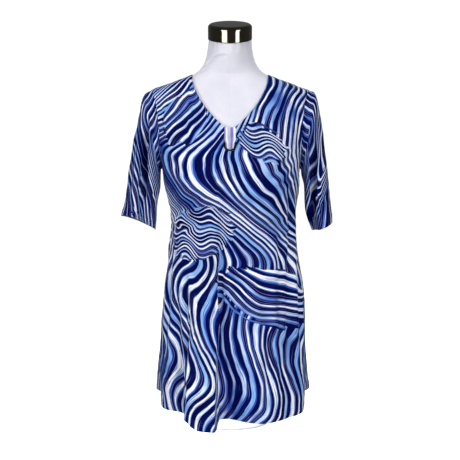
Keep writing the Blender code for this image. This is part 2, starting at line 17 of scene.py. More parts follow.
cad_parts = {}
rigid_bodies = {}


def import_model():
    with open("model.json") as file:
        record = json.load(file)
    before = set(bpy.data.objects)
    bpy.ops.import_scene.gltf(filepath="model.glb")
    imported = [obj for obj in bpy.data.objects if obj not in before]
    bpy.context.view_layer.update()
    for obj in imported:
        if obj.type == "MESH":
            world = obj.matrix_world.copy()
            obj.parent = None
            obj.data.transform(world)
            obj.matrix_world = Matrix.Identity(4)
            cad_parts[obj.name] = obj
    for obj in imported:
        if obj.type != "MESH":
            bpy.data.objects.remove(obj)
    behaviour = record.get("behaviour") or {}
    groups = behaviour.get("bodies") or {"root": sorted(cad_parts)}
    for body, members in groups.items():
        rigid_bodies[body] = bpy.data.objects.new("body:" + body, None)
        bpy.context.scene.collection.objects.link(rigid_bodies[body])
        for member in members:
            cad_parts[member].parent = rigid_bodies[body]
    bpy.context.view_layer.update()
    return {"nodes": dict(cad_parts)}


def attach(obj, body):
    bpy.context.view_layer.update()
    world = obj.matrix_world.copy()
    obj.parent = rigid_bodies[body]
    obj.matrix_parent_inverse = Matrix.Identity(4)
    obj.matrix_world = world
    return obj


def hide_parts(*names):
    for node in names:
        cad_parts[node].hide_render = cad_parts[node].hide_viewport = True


# Cloth and seams
SHELL = 0.0010
SEAM_GAP = 0.0003
FORM_CLEARANCE = 0.0004
HEM_DEPTH = 0.020
NEEDLE_GAP = 0.005
STITCH_STEP = 0.0034
STITCH_LENGTH = 0.0024
STITCH_WIDTH = 0.0005
STITCH_RISE = 0.0003

# Where stitches run: two rows above a hem's edge, one below the neckline. The thread presses the cloth in
NEEDLE_LINES = (HEM_DEPTH - 0.0015, HEM_DEPTH - 0.0015 - NEEDLE_GAP)
NECK_NEEDLE_LINE = 0.007
NEEDLE_PRESS = 0.0006
NEEDLE_WIDTH = 0.0014

# Creases fade out this near an edge, seams dip, and turned hems stand out
EDGE_FADE = 0.012
SEAM_DIP = 0.0009
PANEL_SEAM_WIDTH = 0.0030
SLEEVE_SEAM_WIDTH = 0.0035
PANEL_HEM_RISE = 0.0007
SLEEVE_HEM_RISE = 0.0006
HEM_OVERLAP = 0.001
HEM_STEP = 0.0015

# Heights and neckline of the tunic
UNDERARM_Z = 0.5810
SHOULDER_TIP_Z = 0.7565
NECK_POINT_Z = 0.7930
VENT_TOP_Z = 0.1860
NECK_HALF_WIDTH = 0.0855
FRONT_NECK_DEPTH = 0.129
FRONT_NECK_CURVE = 2.0
BACK_NECK_DEPTH = 0.026
NECK_CROWDING = 1.8
NECK_SHARE = 0.55
ARMHOLE_BEND = 0.005
ARMHOLE_MIDDLE = (0.22, 0.0, 0.664)

# Side vents
FRONT_VENT_ANGLE = 15.0
BACK_VENT_ANGLE = 2.0
FRONT_VENT_INSET = 0.010
BACK_VENT_FLARE = 0.005
VENT_EDGE_WIDTH = 34.0

# Bust
BUST_X = 0.078
BUST_Z = 0.5440
BUST_RADIUS = 0.058
BUST_HEIGHT = 0.010

# All creases are this much deeper than their rows say
CREASE_STRENGTH = 1.5

# Sleeve creases that the solid has too
CREASE_WIDTH = 48.0
BACK_CREASE = 0.5

# Fine grids
SKIRT_ROWS = 160
YOKE_ROWS = 60
FRONT_STOPS = (-90.0, -49.5, -9.0, 0.0, 49.5, 90.0)
FRONT_COUNTS = (24, 66, 12, 50, 24)
BACK_STOPS = (-90.0, -49.5, 0.0, 49.5, 90.0)
BACK_COUNTS = (26, 52, 52, 26)
ROWS_A_RING = 12
SHEET_SHARP_ANGLE = 70.0

# Tab and ring
TAB_THICKNESS = 0.0012
TAB_RISE = 0.0010
TAB_SHELL = 0.0008
PLEAT_DEPTH = 0.00045
RING_CENTRE_Z = 0.6325
RING_RADIUS = 0.0121
RING_WIRE = 0.0019

# Dress form
NECK_TILT = 16.5
CAP_CENTRE = (0.0, -0.0205, 0.8695)
CAP_RADIUS = 0.0492
CAP_HEIGHT = 0.034
CAP_ROUNDING = 0.0075
CAP_BEVEL = 0.0008
CAP_ARC_STEPS = 10
CAP_SIDES = 144
FORM_SIDES = 216
FORM_ROWS = 250
FORM_SHARP_ANGLE = 60.0

# Camera, at the photograph's angle
TARGET = (0.0, 0.0, 0.441)
CAMERA_DISTANCE = 2.5
CAMERA_ELEVATION = 4.0
LENS = 85.85


class Section(NamedTuple):
    """A level section: a squared ellipse, deeper or flatter behind."""

    z: float
    centre_x: float
    half_width: float
    front: float
    back: float
    squareness: float
    tilt: float = 0.0


TUNIC_SECTIONS = (
    Section(0.0140, 0.0060, 0.1745, 0.141, 0.138, 2.1),
    Section(0.0790, 0.0062, 0.1735, 0.137, 0.135, 2.1),
    Section(0.1430, 0.0058, 0.1697, 0.133, 0.131, 2.1),
    Section(0.1890, 0.0066, 0.1664, 0.129, 0.128, 2.1),
    Section(0.2340, 0.0078, 0.1650, 0.125, 0.124, 2.1),
    Section(0.2800, 0.0086, 0.1619, 0.121, 0.119, 2.1),
    Section(0.3260, 0.0086, 0.1570, 0.117, 0.110, 2.1),
    Section(0.3710, 0.0084, 0.1492, 0.113, 0.099, 2.1),
    Section(0.4170, 0.0085, 0.1432, 0.111, 0.089, 2.1),
    Section(0.4580, 0.0086, 0.1402, 0.114, 0.086, 2.1),
    Section(0.4850, 0.0080, 0.1420, 0.118, 0.089, 2.1),
    Section(0.5080, 0.0068, 0.1461, 0.122, 0.094, 2.1),
    Section(0.5310, 0.0050, 0.1507, 0.126, 0.099, 2.15),
    Section(0.5490, 0.0040, 0.1538, 0.126, 0.102, 2.2),
    Section(0.5810, 0.0020, 0.1560, 0.119, 0.106, 2.2),
    Section(0.6140, 0.0008, 0.1640, 0.110, 0.108, 2.2),
    Section(0.6640, 0.0000, 0.1830, 0.096, 0.104, 2.2),
    Section(0.7140, 0.0000, 0.1930, 0.078, 0.090, 2.2),
    Section(0.7390, 0.0000, 0.1920, 0.068, 0.074, 2.2),
    Section(0.7565, 0.0000, 0.1800, 0.060, 0.062, 2.2),
    Section(0.7660, 0.0000, 0.1555, 0.0565, 0.0575, 2.15),
    Section(0.7750, 0.0000, 0.1315, 0.054, 0.055, 2.1),
    Section(0.7840, 0.0000, 0.1070, 0.0515, 0.053, 2.1),
    Section(0.7930, 0.0000, 0.0855, 0.049, 0.051, 2.1),
    Section(0.8040, 0.0000, 0.0600, 0.046, 0.048, 2.1),
)

FORM_SECTIONS = (
    Section(0.1790, 0.003, 0.118, 0.078, 0.086, 2.2),
    Section(0.1840, 0.003, 0.134, 0.090, 0.098, 2.2),
    Section(0.2040, 0.003, 0.145, 0.099, 0.106, 2.2),
    Section(0.2540, 0.003, 0.149, 0.103, 0.108, 2.2),
    Section(0.3140, 0.003, 0.142, 0.100, 0.099, 2.2),
    Section(0.3740, 0.003, 0.129, 0.093, 0.085, 2.2),
    Section(0.4580, 0.003, 0.117, 0.087, 0.072, 2.2),
    Section(0.5080, 0.002, 0.127, 0.105, 0.080, 2.2),
    Section(0.5440, 0.001, 0.138, 0.119, 0.089, 2.2),
    Section(0.5810, 0.000, 0.143, 0.112, 0.096, 2.2),
    Section(0.6140, 0.000, 0.146, 0.104, 0.100, 2.3),
    Section(0.6640, 0.000, 0.153, 0.0905, 0.0975, 2.4),
    Section(0.7140, 0.000, 0.163, 0.0725, 0.0835, 2.4),
    Section(0.7390, 0.000, 0.168, 0.0625, 0.0675, 2.3),
    Section(0.7520, 0.000, 0.166, 0.0565, 0.0585, 2.2),
    Section(0.7581, 0.000, 0.160, 0.0545, 0.0560, 2.15),
    Section(0.7643, 0.000, 0.1525, 0.0525, 0.0535, 2.1),
    Section(0.7733, 0.000, 0.1295, 0.0500, 0.0510, 2.0),
    Section(0.7823, 0.000, 0.1050, 0.0480, 0.0490, 2.0),
    Section(0.7912, 0.000, 0.0845, 0.0475, 0.0470, 2.0),
    Section(0.7980, 0.000, 0.0735, 0.0490, 0.0450, 2.0, 3.0),
    Section(0.8070, 0.000, 0.0645, 0.0515, 0.0430, 2.0, 6.0),
    Section(0.8190, 0.000, 0.0575, 0.0550, 0.0400, 2.0, 9.5),
    Section(0.8340, 0.000, 0.0525, 0.0600, 0.0360, 2.0, 13.0),
    Section(0.8520, 0.000, 0.0497, 0.0655, 0.0310, 2.0, 16.5),
    Section(0.8692, 0.000, 0.0488, 0.0688, 0.0278, 2.0, 16.5),
)


class Fold(NamedTuple):
    """A hanging fold of the solid, by angle round the body."""

    centre: float
    left_width: float
    right_width: float
    depth: float
    lean: float
    steepness: float
    start_z: float


FOLDS = (
    Fold(-26.0, 16.0, 12.7, 0.042, 0.016, 3.0, 0.440),
    Fold(-2.0, 9.0, 17.0, -0.012, 0.000, 1.2, 0.444),
    Fold(-51.0, 10.0, 10.0, -0.009, 0.000, 1.0, 0.344),
    Fold(-66.0, 12.0, 12.0, 0.005, 0.000, 1.0, 0.294),
    Fold(26.0, 16.0, 18.0, 0.012, 0.000, 1.0, 0.344),
    Fold(52.0, 12.0, 10.0, -0.008, 0.000, 1.0, 0.434),
    Fold(68.0, 12.0, 11.0, 0.006, 0.000, 1.0, 0.394),
    Fold(116.0, 14.0, 14.0, -0.009, 0.000, 1.0, 0.394),
    Fold(142.0, 15.0, 15.0, 0.014, 0.000, 1.0, 0.354),
    Fold(167.0, 13.0, 13.0, -0.010, 0.000, 1.0, 0.374),
    Fold(190.0, 14.0, 14.0, 0.012, 0.000, 1.0, 0.334),
    Fold(214.0, 13.0, 13.0, -0.009, 0.000, 1.0, 0.394),
    Fold(238.0, 14.0, 14.0, 0.012, 0.000, 1.0, 0.354),
)

# The hem's height by angle round the body
FRONT_HEM = (
    (-90.0, 0.0520),
    (-80.0, 0.0455),
    (-62.0, 0.0435),
    (-46.0, 0.0420),
    (-42.0, 0.0380),
    (-38.0, 0.0270),
    (-32.0, 0.0195),
    (-20.0, 0.0180),
    (-17.0, 0.0205),
    (-13.0, 0.0375),
    (10.0, 0.0310),
    (30.0, 0.0280),
    (55.0, 0.0280),
    (75.0, 0.0350),
    (84.0, 0.0430),
    (90.0, 0.0540),
)
BACK_HEM = (
    (90.0, 0.0770),
    (110.0, 0.0540),
    (140.0, 0.0400),
    (180.0, 0.0360),
    (220.0, 0.0400),
    (250.0, 0.0540),
    (270.0, 0.0740),
)


class SleeveRing(NamedTuple):
    """A sleeve section, from its outer to its inner side."""

    outer_x: float
    outer_z: float
    inner_x: float
    inner_z: float
    depth: float
    front_rise: float
    crease: float
    crease_angle: float


LEFT_SLEEVE = (
    SleeveRing(0.1905, 0.7490, 0.1570, 0.5770, 0.050, 0.000, 0.001, 60.0),
    SleeveRing(0.2010, 0.7250, 0.1572, 0.5680, 0.052, 0.000, 0.004, 62.0),
    SleeveRing(0.2073, 0.6930, 0.1575, 0.5570, 0.053, 0.000, 0.009, 66.0),
    SleeveRing(0.2150, 0.6560, 0.1578, 0.5430, 0.053, 0.001, 0.013, 74.0),
    SleeveRing(0.2212, 0.6130, 0.1602, 0.5270, 0.052, 0.003, 0.016, 84.0),
    SleeveRing(0.2282, 0.5750, 0.1638, 0.5100, 0.051, 0.005, 0.018, 94.0),
    SleeveRing(0.2340, 0.5340, 0.1660, 0.4890, 0.050, 0.007, 0.018, 104.0),
    SleeveRing(0.2400, 0.5030, 0.1670, 0.4660, 0.049, 0.010, 0.016, 114.0),
    SleeveRing(0.2460, 0.4725, 0.1695, 0.4415, 0.048, 0.013, 0.013, 122.0),
)
RIGHT_SLEEVE = (
    SleeveRing(0.1890, 0.7530, 0.1610, 0.5770, 0.050, 0.000, 0.001, 78.0),
    SleeveRing(0.1978, 0.7360, 0.1618, 0.5680, 0.052, 0.000, 0.005, 82.0),
    SleeveRing(0.2035, 0.7080, 0.1642, 0.5570, 0.053, 0.000, 0.010, 88.0),
    SleeveRing(0.2085, 0.6680, 0.1680, 0.5430, 0.053, 0.000, 0.014, 96.0),
    SleeveRing(0.2140, 0.6260, 0.1688, 0.5270, 0.052, 0.000, 0.017, 104.0),
    SleeveRing(0.2190, 0.5870, 0.1690, 0.5100, 0.051, 0.000, 0.018, 114.0),
    SleeveRing(0.2250, 0.5410, 0.1705, 0.4890, 0.050, -0.001, 0.016, 124.0),
    SleeveRing(0.2285, 0.5000, 0.1765, 0.4660, 0.048, -0.002, 0.012, 134.0),
    SleeveRing(0.2323, 0.4610, 0.1850, 0.4405, 0.045, -0.004, 0.009, 142.0),
)


class TabRow(NamedTuple):
    """The tab at a height: its half width, and how far its inner side is lifted, from 0 on the front to 1
    over the ring."""

    z: float
    half_width: float
    lift: float


TAB_ROWS = (
    TabRow(0.6212, 0.0072, 0.00),
    TabRow(0.6250, 0.0079, 0.00),
    TabRow(0.6290, 0.0084, 0.10),
    TabRow(0.6325, 0.0090, 0.50),
    TabRow(0.6362, 0.0096, 0.96),
    TabRow(0.6400, 0.0112, 1.00),
    TabRow(0.6440, 0.0123, 1.00),
    TabRow(0.6475, 0.0125, 0.96),
    TabRow(0.6520, 0.0125, 0.50),
    TabRow(0.6570, 0.0125, 0.15),
    TabRow(0.6640, 0.0125, 0.02),
    TabRow(0.6715, 0.0122, 0.00),
)


class Crease(NamedTuple):
    """A soft trough with a ridge on each side. route is in x and z on the body, or in degrees round and
    share of the length on a sleeve. Negative depth makes a ridge. lean moves the ridges to one side."""

    route: tuple
    width: float
    depth: float
    lean: float = 0.0


FRONT_CREASES = (
    Crease(((0.127, 0.585), (0.136, 0.450), (0.131, 0.300), (0.142, 0.090)), 0.0075, 0.0060, 0.4),
    Crease(((0.106, 0.480), (0.115, 0.320), (0.104, 0.170)), 0.0080, 0.0040, -0.3),
    Crease(((-0.112, 0.300), (-0.117, 0.200), (-0.112, 0.110), (-0.117, 0.050)), 0.0080, 0.0060, 0.5),
    Crease(((-0.128, 0.420), (-0.138, 0.290), (-0.144, 0.140)), 0.0065, 0.0036, -0.2),
    Crease(((-0.118, 0.330), (-0.122, 0.220), (-0.128, 0.110)), 0.0060, 0.0030, 0.2),
    Crease(((-0.030, 0.505), (-0.074, 0.466), (-0.128, 0.437)), 0.0090, 0.0028, 0.3),
    Crease(((-0.052, 0.545), (-0.095, 0.500), (-0.137, 0.478)), 0.0100, 0.0024, 0.2),
    Crease(((0.030, 0.492), (0.082, 0.458), (0.134, 0.446)), 0.0080, 0.0030, -0.3),
    Crease(((0.060, 0.530), (0.100, 0.492), (0.138, 0.480)), 0.0095, 0.0026, 0.2),
    Crease(((0.080, 0.560), (0.116, 0.586), (0.148, 0.622)), 0.0080, 0.0036, 0.3),
    Crease(((0.098, 0.535), (0.126, 0.560), (0.146, 0.590)), 0.0060, 0.0026, 0.0),
    Crease(((-0.088, 0.562), (-0.122, 0.588), (-0.150, 0.620)), 0.0075, 0.0030, -0.3),
    Crease(((0.148, 0.735), (0.158, 0.685), (0.150, 0.625)), 0.0080, 0.0034, 0.4),
    Crease(((-0.150, 0.738), (-0.160, 0.684), (-0.152, 0.628)), 0.0085, 0.0028, -0.4),
    Crease(((0.001, 0.612), (-0.005, 0.556), (0.002, 0.470)), 0.0105, 0.0020, 0.2),
    Crease(((-0.018, 0.652), (-0.056, 0.622), (-0.094, 0.604)), 0.0075, 0.0018, 0.0),
    Crease(((0.020, 0.652), (0.058, 0.628), (0.100, 0.618)), 0.0070, 0.0020, 0.0),
    Crease(((-0.140, 0.458), (-0.112, 0.449), (-0.070, 0.454)), 0.0055, 0.0024, 0.3),
    Crease(((-0.136, 0.418), (-0.104, 0.412), (-0.076, 0.418)), 0.0060, 0.0018, 0.3),
    Crease(((0.144, 0.472), (0.118, 0.463), (0.078, 0.470)), 0.0055, 0.0024, -0.3),
    Crease(((0.145, 0.436), (0.120, 0.430), (0.092, 0.434)), 0.0050, 0.0020, 0.2),
    Crease(((-0.020, 0.500), (-0.018, 0.420), (-0.020, 0.330), (-0.022, 0.200)), 0.0080, 0.0075, -0.7),
    Crease(((-0.096, 0.360), (-0.098, 0.300), (-0.097, 0.220)), 0.0050, 0.0050, 0.4),
    Crease(((0.012, 0.430), (0.026, 0.270), (0.036, 0.110), (0.038, 0.035)), 0.0110, 0.0036, -0.2),
    Crease(((0.070, 0.340), (0.082, 0.210), (0.080, 0.045)), 0.0095, 0.0042, 0.3),
    Crease(((-0.066, 0.370), (-0.072, 0.230), (-0.069, 0.060)), 0.0075, 0.0040, -0.4),
    Crease(((0.152, 0.330), (0.156, 0.220), (0.158, 0.130)), 0.0060, 0.0028, 0.0),
)
BACK_CREASES = (
    Crease(((-0.118, 0.560), (-0.128, 0.430), (-0.122, 0.270), (-0.132, 0.100)), 0.0080, 0.0074, 0.4),
    Crease(((0.122, 0.540), (0.130, 0.400), (0.118, 0.240)), 0.0075, 0.0068, -0.4),
    Crease(((0.030, 0.425), (0.045, 0.300), (0.038, 0.120), (0.044, 0.050)), 0.0100, 0.0059, 0.2),
    Crease(((-0.060, 0.400), (-0.066, 0.260), (-0.056, 0.090)), 0.0090, 0.0068, -0.3),
    Crease(((0.088, 0.350), (0.094, 0.210), (0.086, 0.070)), 0.0080, 0.0057, 0.4),
    Crease(((-0.010, 0.360), (-0.014, 0.220), (-0.006, 0.050)), 0.0085, 0.0051, 0.0),
    Crease(((-0.020, 0.470), (-0.070, 0.452), (-0.134, 0.462)), 0.0080, 0.0041, 0.2),
    Crease(((0.010, 0.440), (0.070, 0.430), (0.132, 0.444)), 0.0085, 0.0043, -0.2),
    Crease(((-0.036, 0.505), (-0.082, 0.492), (-0.138, 0.506)), 0.0075, 0.0032, 0.2),
    Crease(((0.046, 0.486), (0.090, 0.478), (0.138, 0.492)), 0.0065, 0.0032, 0.0),
    Crease(((-0.090, 0.585), (-0.124, 0.615), (-0.152, 0.655)), 0.0090, 0.0043, 0.3),
    Crease(((0.084, 0.575), (0.120, 0.606), (0.150, 0.650)), 0.0085, 0.0049, -0.3),
    Crease(((-0.140, 0.735), (-0.150, 0.690), (-0.140, 0.640)), 0.0085, 0.0038, 0.0),
    Crease(((0.144, 0.735), (0.152, 0.690), (0.140, 0.645)), 0.0080, 0.0041, 0.0),
    Crease(((-0.040, 0.740), (0.000, 0.722), (0.044, 0.742)), 0.0085, 0.0022, 0.0),
)
LEFT_SLEEVE_CREASES = (
    Crease(((60, 0.06), (72, 0.35), (90, 0.62), (106, 0.97)), 0.0075, 0.0125, 0.5),
    Crease(((28, 0.30), (38, 0.55), (50, 0.90)), 0.0070, 0.0030, -0.3),
    Crease(((168, 0.06), (140, 0.14), (112, 0.30)), 0.0060, 0.0026, 0.2),
    Crease(((150, 0.45), (118, 0.52), (70, 0.50)), 0.0070, 0.0026, 0.2),
    Crease(((148, 0.66), (120, 0.72), (80, 0.74)), 0.0065, 0.0022, 0.0),
    Crease(((130, 0.55), (140, 0.75), (150, 0.97)), 0.0055, 0.0028, 0.0),
    Crease(((200, 0.08), (226, 0.20), (244, 0.36)), 0.0070, 0.0028, 0.0),
    Crease(((258, 0.12), (268, 0.50), (256, 0.94)), 0.0075, 0.0046, 0.3),
    Crease(((306, 0.38), (276, 0.52), (236, 0.58)), 0.0080, 0.0030, 0.0),
    Crease(((318, 0.20), (310, 0.55), (316, 0.90)), 0.0070, 0.0026, 0.2),
)
RIGHT_SLEEVE_CREASES = (
    Crease(((76, 0.06), (92, 0.34), (110, 0.60), (130, 0.96)), 0.0070, 0.0120, -0.5),
    Crease(((40, 0.16), (52, 0.45), (70, 0.85)), 0.0075, 0.0030, 0.3),
    Crease(((170, 0.05), (150, 0.12), (124, 0.22)), 0.0055, 0.0030, 0.0),
    Crease(((158, 0.34), (128, 0.44), (86, 0.42)), 0.0070, 0.0028, -0.2),
    Crease(((150, 0.60), (112, 0.70), (64, 0.66)), 0.0075, 0.0030, 0.2),
    Crease(((104, 0.74), (92, 0.86), (88, 0.98)), 0.0060, 0.0030, 0.0),
    Crease(((196, 0.10), (222, 0.24), (246, 0.34)), 0.0065, 0.0026, 0.0),
    Crease(((262, 0.15), (252, 0.52), (266, 0.92)), 0.0080, 0.0044, -0.3),
    Crease(((300, 0.44), (270, 0.60), (230, 0.64)), 0.0075, 0.0028, 0.0),
    Crease(((322, 0.16), (328, 0.50), (320, 0.86)), 0.0070, 0.0024, 0.0),
)


# On the form's neck, in degrees round and height
NECK_CREASES = (
    Crease(((-76, 0.806), (-44, 0.829), (-20, 0.839), (4, 0.843)), 0.0028, 0.0024, 0.5),
    Crease(((-96, 0.790), (-70, 0.799), (-50, 0.811)), 0.0028, 0.0012, -0.3),
    Crease(((40, 0.858), (58, 0.838), (66, 0.815)), 0.0060, 0.0009, 0.3),
    Crease(((150, 0.845), (186, 0.832), (220, 0.842)), 0.0055, 0.0009, 0.0),
)


# Interpolation


def ease(t):
    t = np.clip(t, 0.0, 1.0)
    return t * t * (3.0 - 2.0 * t)


def mix(a, b, t):
    return a + (b - a) * t


def through_rows(rows, key):
    """Columns of rows at each key, read from smooth curves that never overshoot them."""
    table = np.array(rows, dtype=float)
    return curve_through(table[:, 0], table, np.clip(key, table[0, 0], table[-1, 0]))


def curve_through(knots, values, key):
    """values at key, along a cubic through the knots with slopes that never overshoot."""
    shape = (-1,) + (1,) * (values.ndim - 1)
    steps = np.diff(values, axis=0) / np.diff(knots).reshape(shape)
    slopes = np.empty_like(values)
    slopes[0], slopes[-1] = steps[0], steps[-1]
    before, after = steps[:-1], steps[1:]
    total = before + after
    same = before * after > 0
    slopes[1:-1] = np.where(same, 2.0 * before * after / np.where(same, total, 1.0), 0.0)
    key = np.asarray(key, dtype=float)
    i = np.clip(np.searchsorted(knots, key, side="left") - 1, 0, len(knots) - 2)
    width = knots[i + 1] - knots[i]
    t = (key - knots[i]) / width
    spread = key.shape + (1,) * (values.ndim - 1)
    t, width = t.reshape(spread), width.reshape(spread)
    return (
        values[i] * (2 * t**3 - 3 * t**2 + 1)
        + values[i + 1] * (3 * t**2 - 2 * t**3)
        + slopes[i] * width * (t**3 - 2 * t**2 + t)
        + slopes[i + 1] * width * (t**3 - t**2)
    )


def unit(vectors):
    return vectors / np.maximum(np.linalg.norm(vectors, axis=-1, keepdims=True), 1e-9)


# Tunic body surface


def ellipse_point(sections, angle, z):
    row = through_rows(sections, z)
    centre_x, half_width, front, back, n = (row[..., k] for k in range(1, 6))
    across, ahead = np.sin(np.radians(angle)), np.cos(np.radians(angle))
    depth = np.where(ahead > 0, front, back)
    reach = (np.abs(across / half_width) ** n + np.abs(ahead / depth) ** n) ** (-1.0 / n)
    return np.stack((centre_x + reach * across, -reach * ahead, z + 0.0 * reach), axis=-1)


def bust_out(x, z):
    away = np.minimum((x - BUST_X) ** 2, (x + BUST_X) ** 2) + (z - BUST_Z) ** 2
    return BUST_HEIGHT * np.exp(-away / BUST_RADIUS**2)


def folds_at(angle, z):
    out, push = 0.0 * angle, 0.0 * angle
    for fold in FOLDS:
        away = (angle - fold.centre + 180.0) % 360.0 - 180.0
        width = np.where(away < 0, fold.left_width, fold.right_width)
        share = ease(fold.steepness * (1.0 - np.abs(away) / width)) * ease((fold.start_z - z) / fold.start_z)
        out = out + fold.depth * share
        push = push + fold.lean * share
    return out, push


def body_point(angle, z):
    point = ellipse_point(TUNIC_SECTIONS, angle, z)
    turn = np.radians(angle)
    out, push = folds_at(angle, z)
    point[..., 0] += np.sin(turn) * out + np.cos(turn) * push
    point[..., 1] += -np.cos(turn) * out + np.sin(turn) * push
    ahead = np.clip(-point[..., 1] / 0.05, 0.0, 1.0)
    point[..., 1] -= bust_out(point[..., 0], z) * ahead
    return point


def body_normal(angle, z):
    turn, rise = 0.4, 0.0008
    along = body_point(angle + turn, z) - body_point(angle - turn, z)
    up = body_point(angle, z + rise) - body_point(angle, z - rise)
    return unit(np.cross(along, up))


def angle_of(x, z, front):
    row = through_rows(TUNIC_SECTIONS, z)
    centre_x, half_width, n = row[..., 1], row[..., 2], row[..., 5]
    depth = row[..., 3] if front else row[..., 4]
    share = np.minimum(np.abs(x - centre_x) / half_width, 1.0)
    y = depth * (1.0 - share**n) ** (1.0 / n)
    turn = np.degrees(np.arctan2(np.abs(x - centre_x), y))
    turn = turn if front else 180.0 - turn
    return np.copysign(turn, x - centre_x)


def surface_at(x, z, front=True):
    """A point of a panel's outer surface, and its normal."""
    x, z = np.asarray(x, dtype=float), np.asarray(z, dtype=float)
    angle = angle_of(x, z, front)
    return body_point(angle, z), body_normal(angle, z)


# Panel layout


def top_edge(share, front):
    side = np.abs(share)
    along = (1.0 - side) / (1.0 - NECK_SHARE)
    shoulder_z = mix(SHOULDER_TIP_Z, NECK_POINT_Z, along)
    shoulder_x = through_rows(TUNIC_SECTIONS, shoulder_z)[..., 2]
    inner = np.clip(side / NECK_SHARE, 0.0, 1.0)
    fall = (1.0 - inner) ** NECK_CROWDING
    if front:
        neck_z = NECK_POINT_Z - FRONT_NECK_DEPTH * fall
        neck_x = NECK_HALF_WIDTH * (1.0 - fall**FRONT_NECK_CURVE)
    else:
        turn = np.radians(90.0) * (1.0 - fall)
        neck_z = NECK_POINT_Z - BACK_NECK_DEPTH * np.cos(turn)
        neck_x = NECK_HALF_WIDTH * np.sin(turn)
    on_shoulder = side >= NECK_SHARE
    x = np.where(on_shoulder, shoulder_x, neck_x)
    return np.copysign(x, share), np.where(on_shoulder, shoulder_z, neck_z)


def plain_angle(share, front):
    return 90.0 * share if front else 180.0 - 90.0 * share


def yoke_place(share, height, front):
    start = ellipse_point(TUNIC_SECTIONS, plain_angle(share, front), UNDERARM_Z + 0.0 * share)
    top_x, top_z = top_edge(share, front)
    z = mix(UNDERARM_Z, top_z, np.sin(np.radians(90.0) * height))
    bend = ARMHOLE_BEND * np.sin(np.pi * height) * share**3 * np.abs(share)
    x = mix(start[..., 0], top_x, height) - bend
    return angle_of(x, z, front), z


def vent_opening(z):
    return np.clip((VENT_TOP_Z - z) / VENT_TOP_Z, 0.0, 1.0)


def skirt_place(share, height, front):
    hem = through_rows(FRONT_HEM if front else BACK_HEM, plain_angle(share, front))[..., 1]
    z = mix(hem, UNDERARM_Z, height)
    turned = FRONT_VENT_ANGLE if front else BACK_VENT_ANGLE
    edge = 90.0 - turned * vent_opening(z)
    return (edge * share if front else 180.0 - edge * share), z


def panel_point(share, height, front, yoke):
    """Outer points and normals of a panel, by share of its half width and by height in skirt or yoke."""
    angle, z = (yoke_place if yoke else skirt_place)(share, height, front)
    normal = body_normal(angle, z)
    near_edge = ease(1.0 - 90.0 * (1.0 - np.abs(share)) / VENT_EDGE_WIDTH)
    shift = vent_opening(z) * near_edge * (-FRONT_VENT_INSET if front else BACK_VENT_FLARE)
    return body_point(angle, z) + normal * shift[..., None], normal


def panel_grid(front):
    """Rows from the hem up by columns from -X to +X."""
    stops, counts = (FRONT_STOPS, FRONT_COUNTS) if front else (BACK_STOPS, BACK_COUNTS)
    parts = [np.linspace(a, b, n, endpoint=False) for a, b, n in zip(stops, stops[1:], counts)]
    shares = np.concatenate(parts + [[stops[-1]]]) / 90.0
    skirt = np.meshgrid(np.linspace(0, 1, SKIRT_ROWS, endpoint=False), shares, indexing="ij")
    yoke = np.meshgrid(np.linspace(0, 1, YOKE_ROWS + 1), shares, indexing="ij")
    low, low_normal = panel_point(skirt[1], skirt[0], front, False)
    high, high_normal = panel_point(yoke[1], yoke[0], front, True)
    return np.concatenate((low, high)), np.concatenate((low_normal, high_normal)), shares


def keep_side(points, front, gap=SEAM_GAP / 2):
    """Holds panel points a little away from the plane of the side and shoulder seams."""
    y = points[..., 1]
    points[..., 1] = np.minimum(y, -gap) if front else np.maximum(y, gap)


# Sleeves


def crease_shape(away):
    return np.where(np.abs(away) >= CREASE_WIDTH, 0.0, 0.5 + 0.5 * np.cos(np.pi * away / CREASE_WIDTH))


def sleeve_ring(ring, side, turn):
    outside = np.array((side * ring.outer_x, 0.0, ring.outer_z))
    inside = np.array((side * ring.inner_x, 0.0, ring.inner_z))
    centre, half = (outside + inside) / 2, (outside - inside) / 2
    rise = ring.front_rise * np.maximum(np.sin(turn), 0.0)
    across = np.stack((0.0 * turn, -ring.depth * np.sin(turn), rise), axis=-1)
    point = centre + half * np.cos(turn)[:, None] + across
    degrees = np.degrees(turn)
    away = (degrees - ring.crease_angle + 180.0) % 360.0 - 180.0
    behind = (degrees + ring.crease_angle + 180.0) % 360.0 - 180.0
    press = ring.crease * (crease_shape(away) + BACK_CREASE * crease_shape(behind))
    return point + unit(centre - point) * press[:, None]


def armhole_ring(side, turn, second):
    """The sleeve's first ring, beside the armhole edge of the panels."""
    degrees = np.degrees(turn) % 360.0
    share = np.full(degrees.shape, float(side))
    front = panel_point(share, 1.0 - np.minimum(degrees, 180.0) / 180.0, True, True)
    back = panel_point(share, np.maximum(degrees - 180.0, 0.0) / 180.0, False, True)
    is_front = (degrees < 180.0)[:, None]
    point = np.where(is_front, front[0], back[0])
    normal = np.where(is_front, front[1], back[1])
    middle = np.array((side * ARMHOLE_MIDDLE[0], *ARMHOLE_MIDDLE[1:]))
    along = unit(np.roll(point, -1, axis=0) - np.roll(point, 1, axis=0))
    beyond = unit(np.cross(along, normal))
    beyond *= np.sign(np.sum(beyond * (middle - point), axis=1))[:, None]
    ahead = second - point
    ahead = unit(ahead - along * np.sum(ahead * along, axis=1)[:, None])
    half_turn = np.arccos(np.clip(np.sum(ahead * beyond, axis=1), -1, 1))[:, None] / 2
    return point + (beyond * np.cos(half_turn) + normal * np.sin(half_turn)) * SEAM_GAP


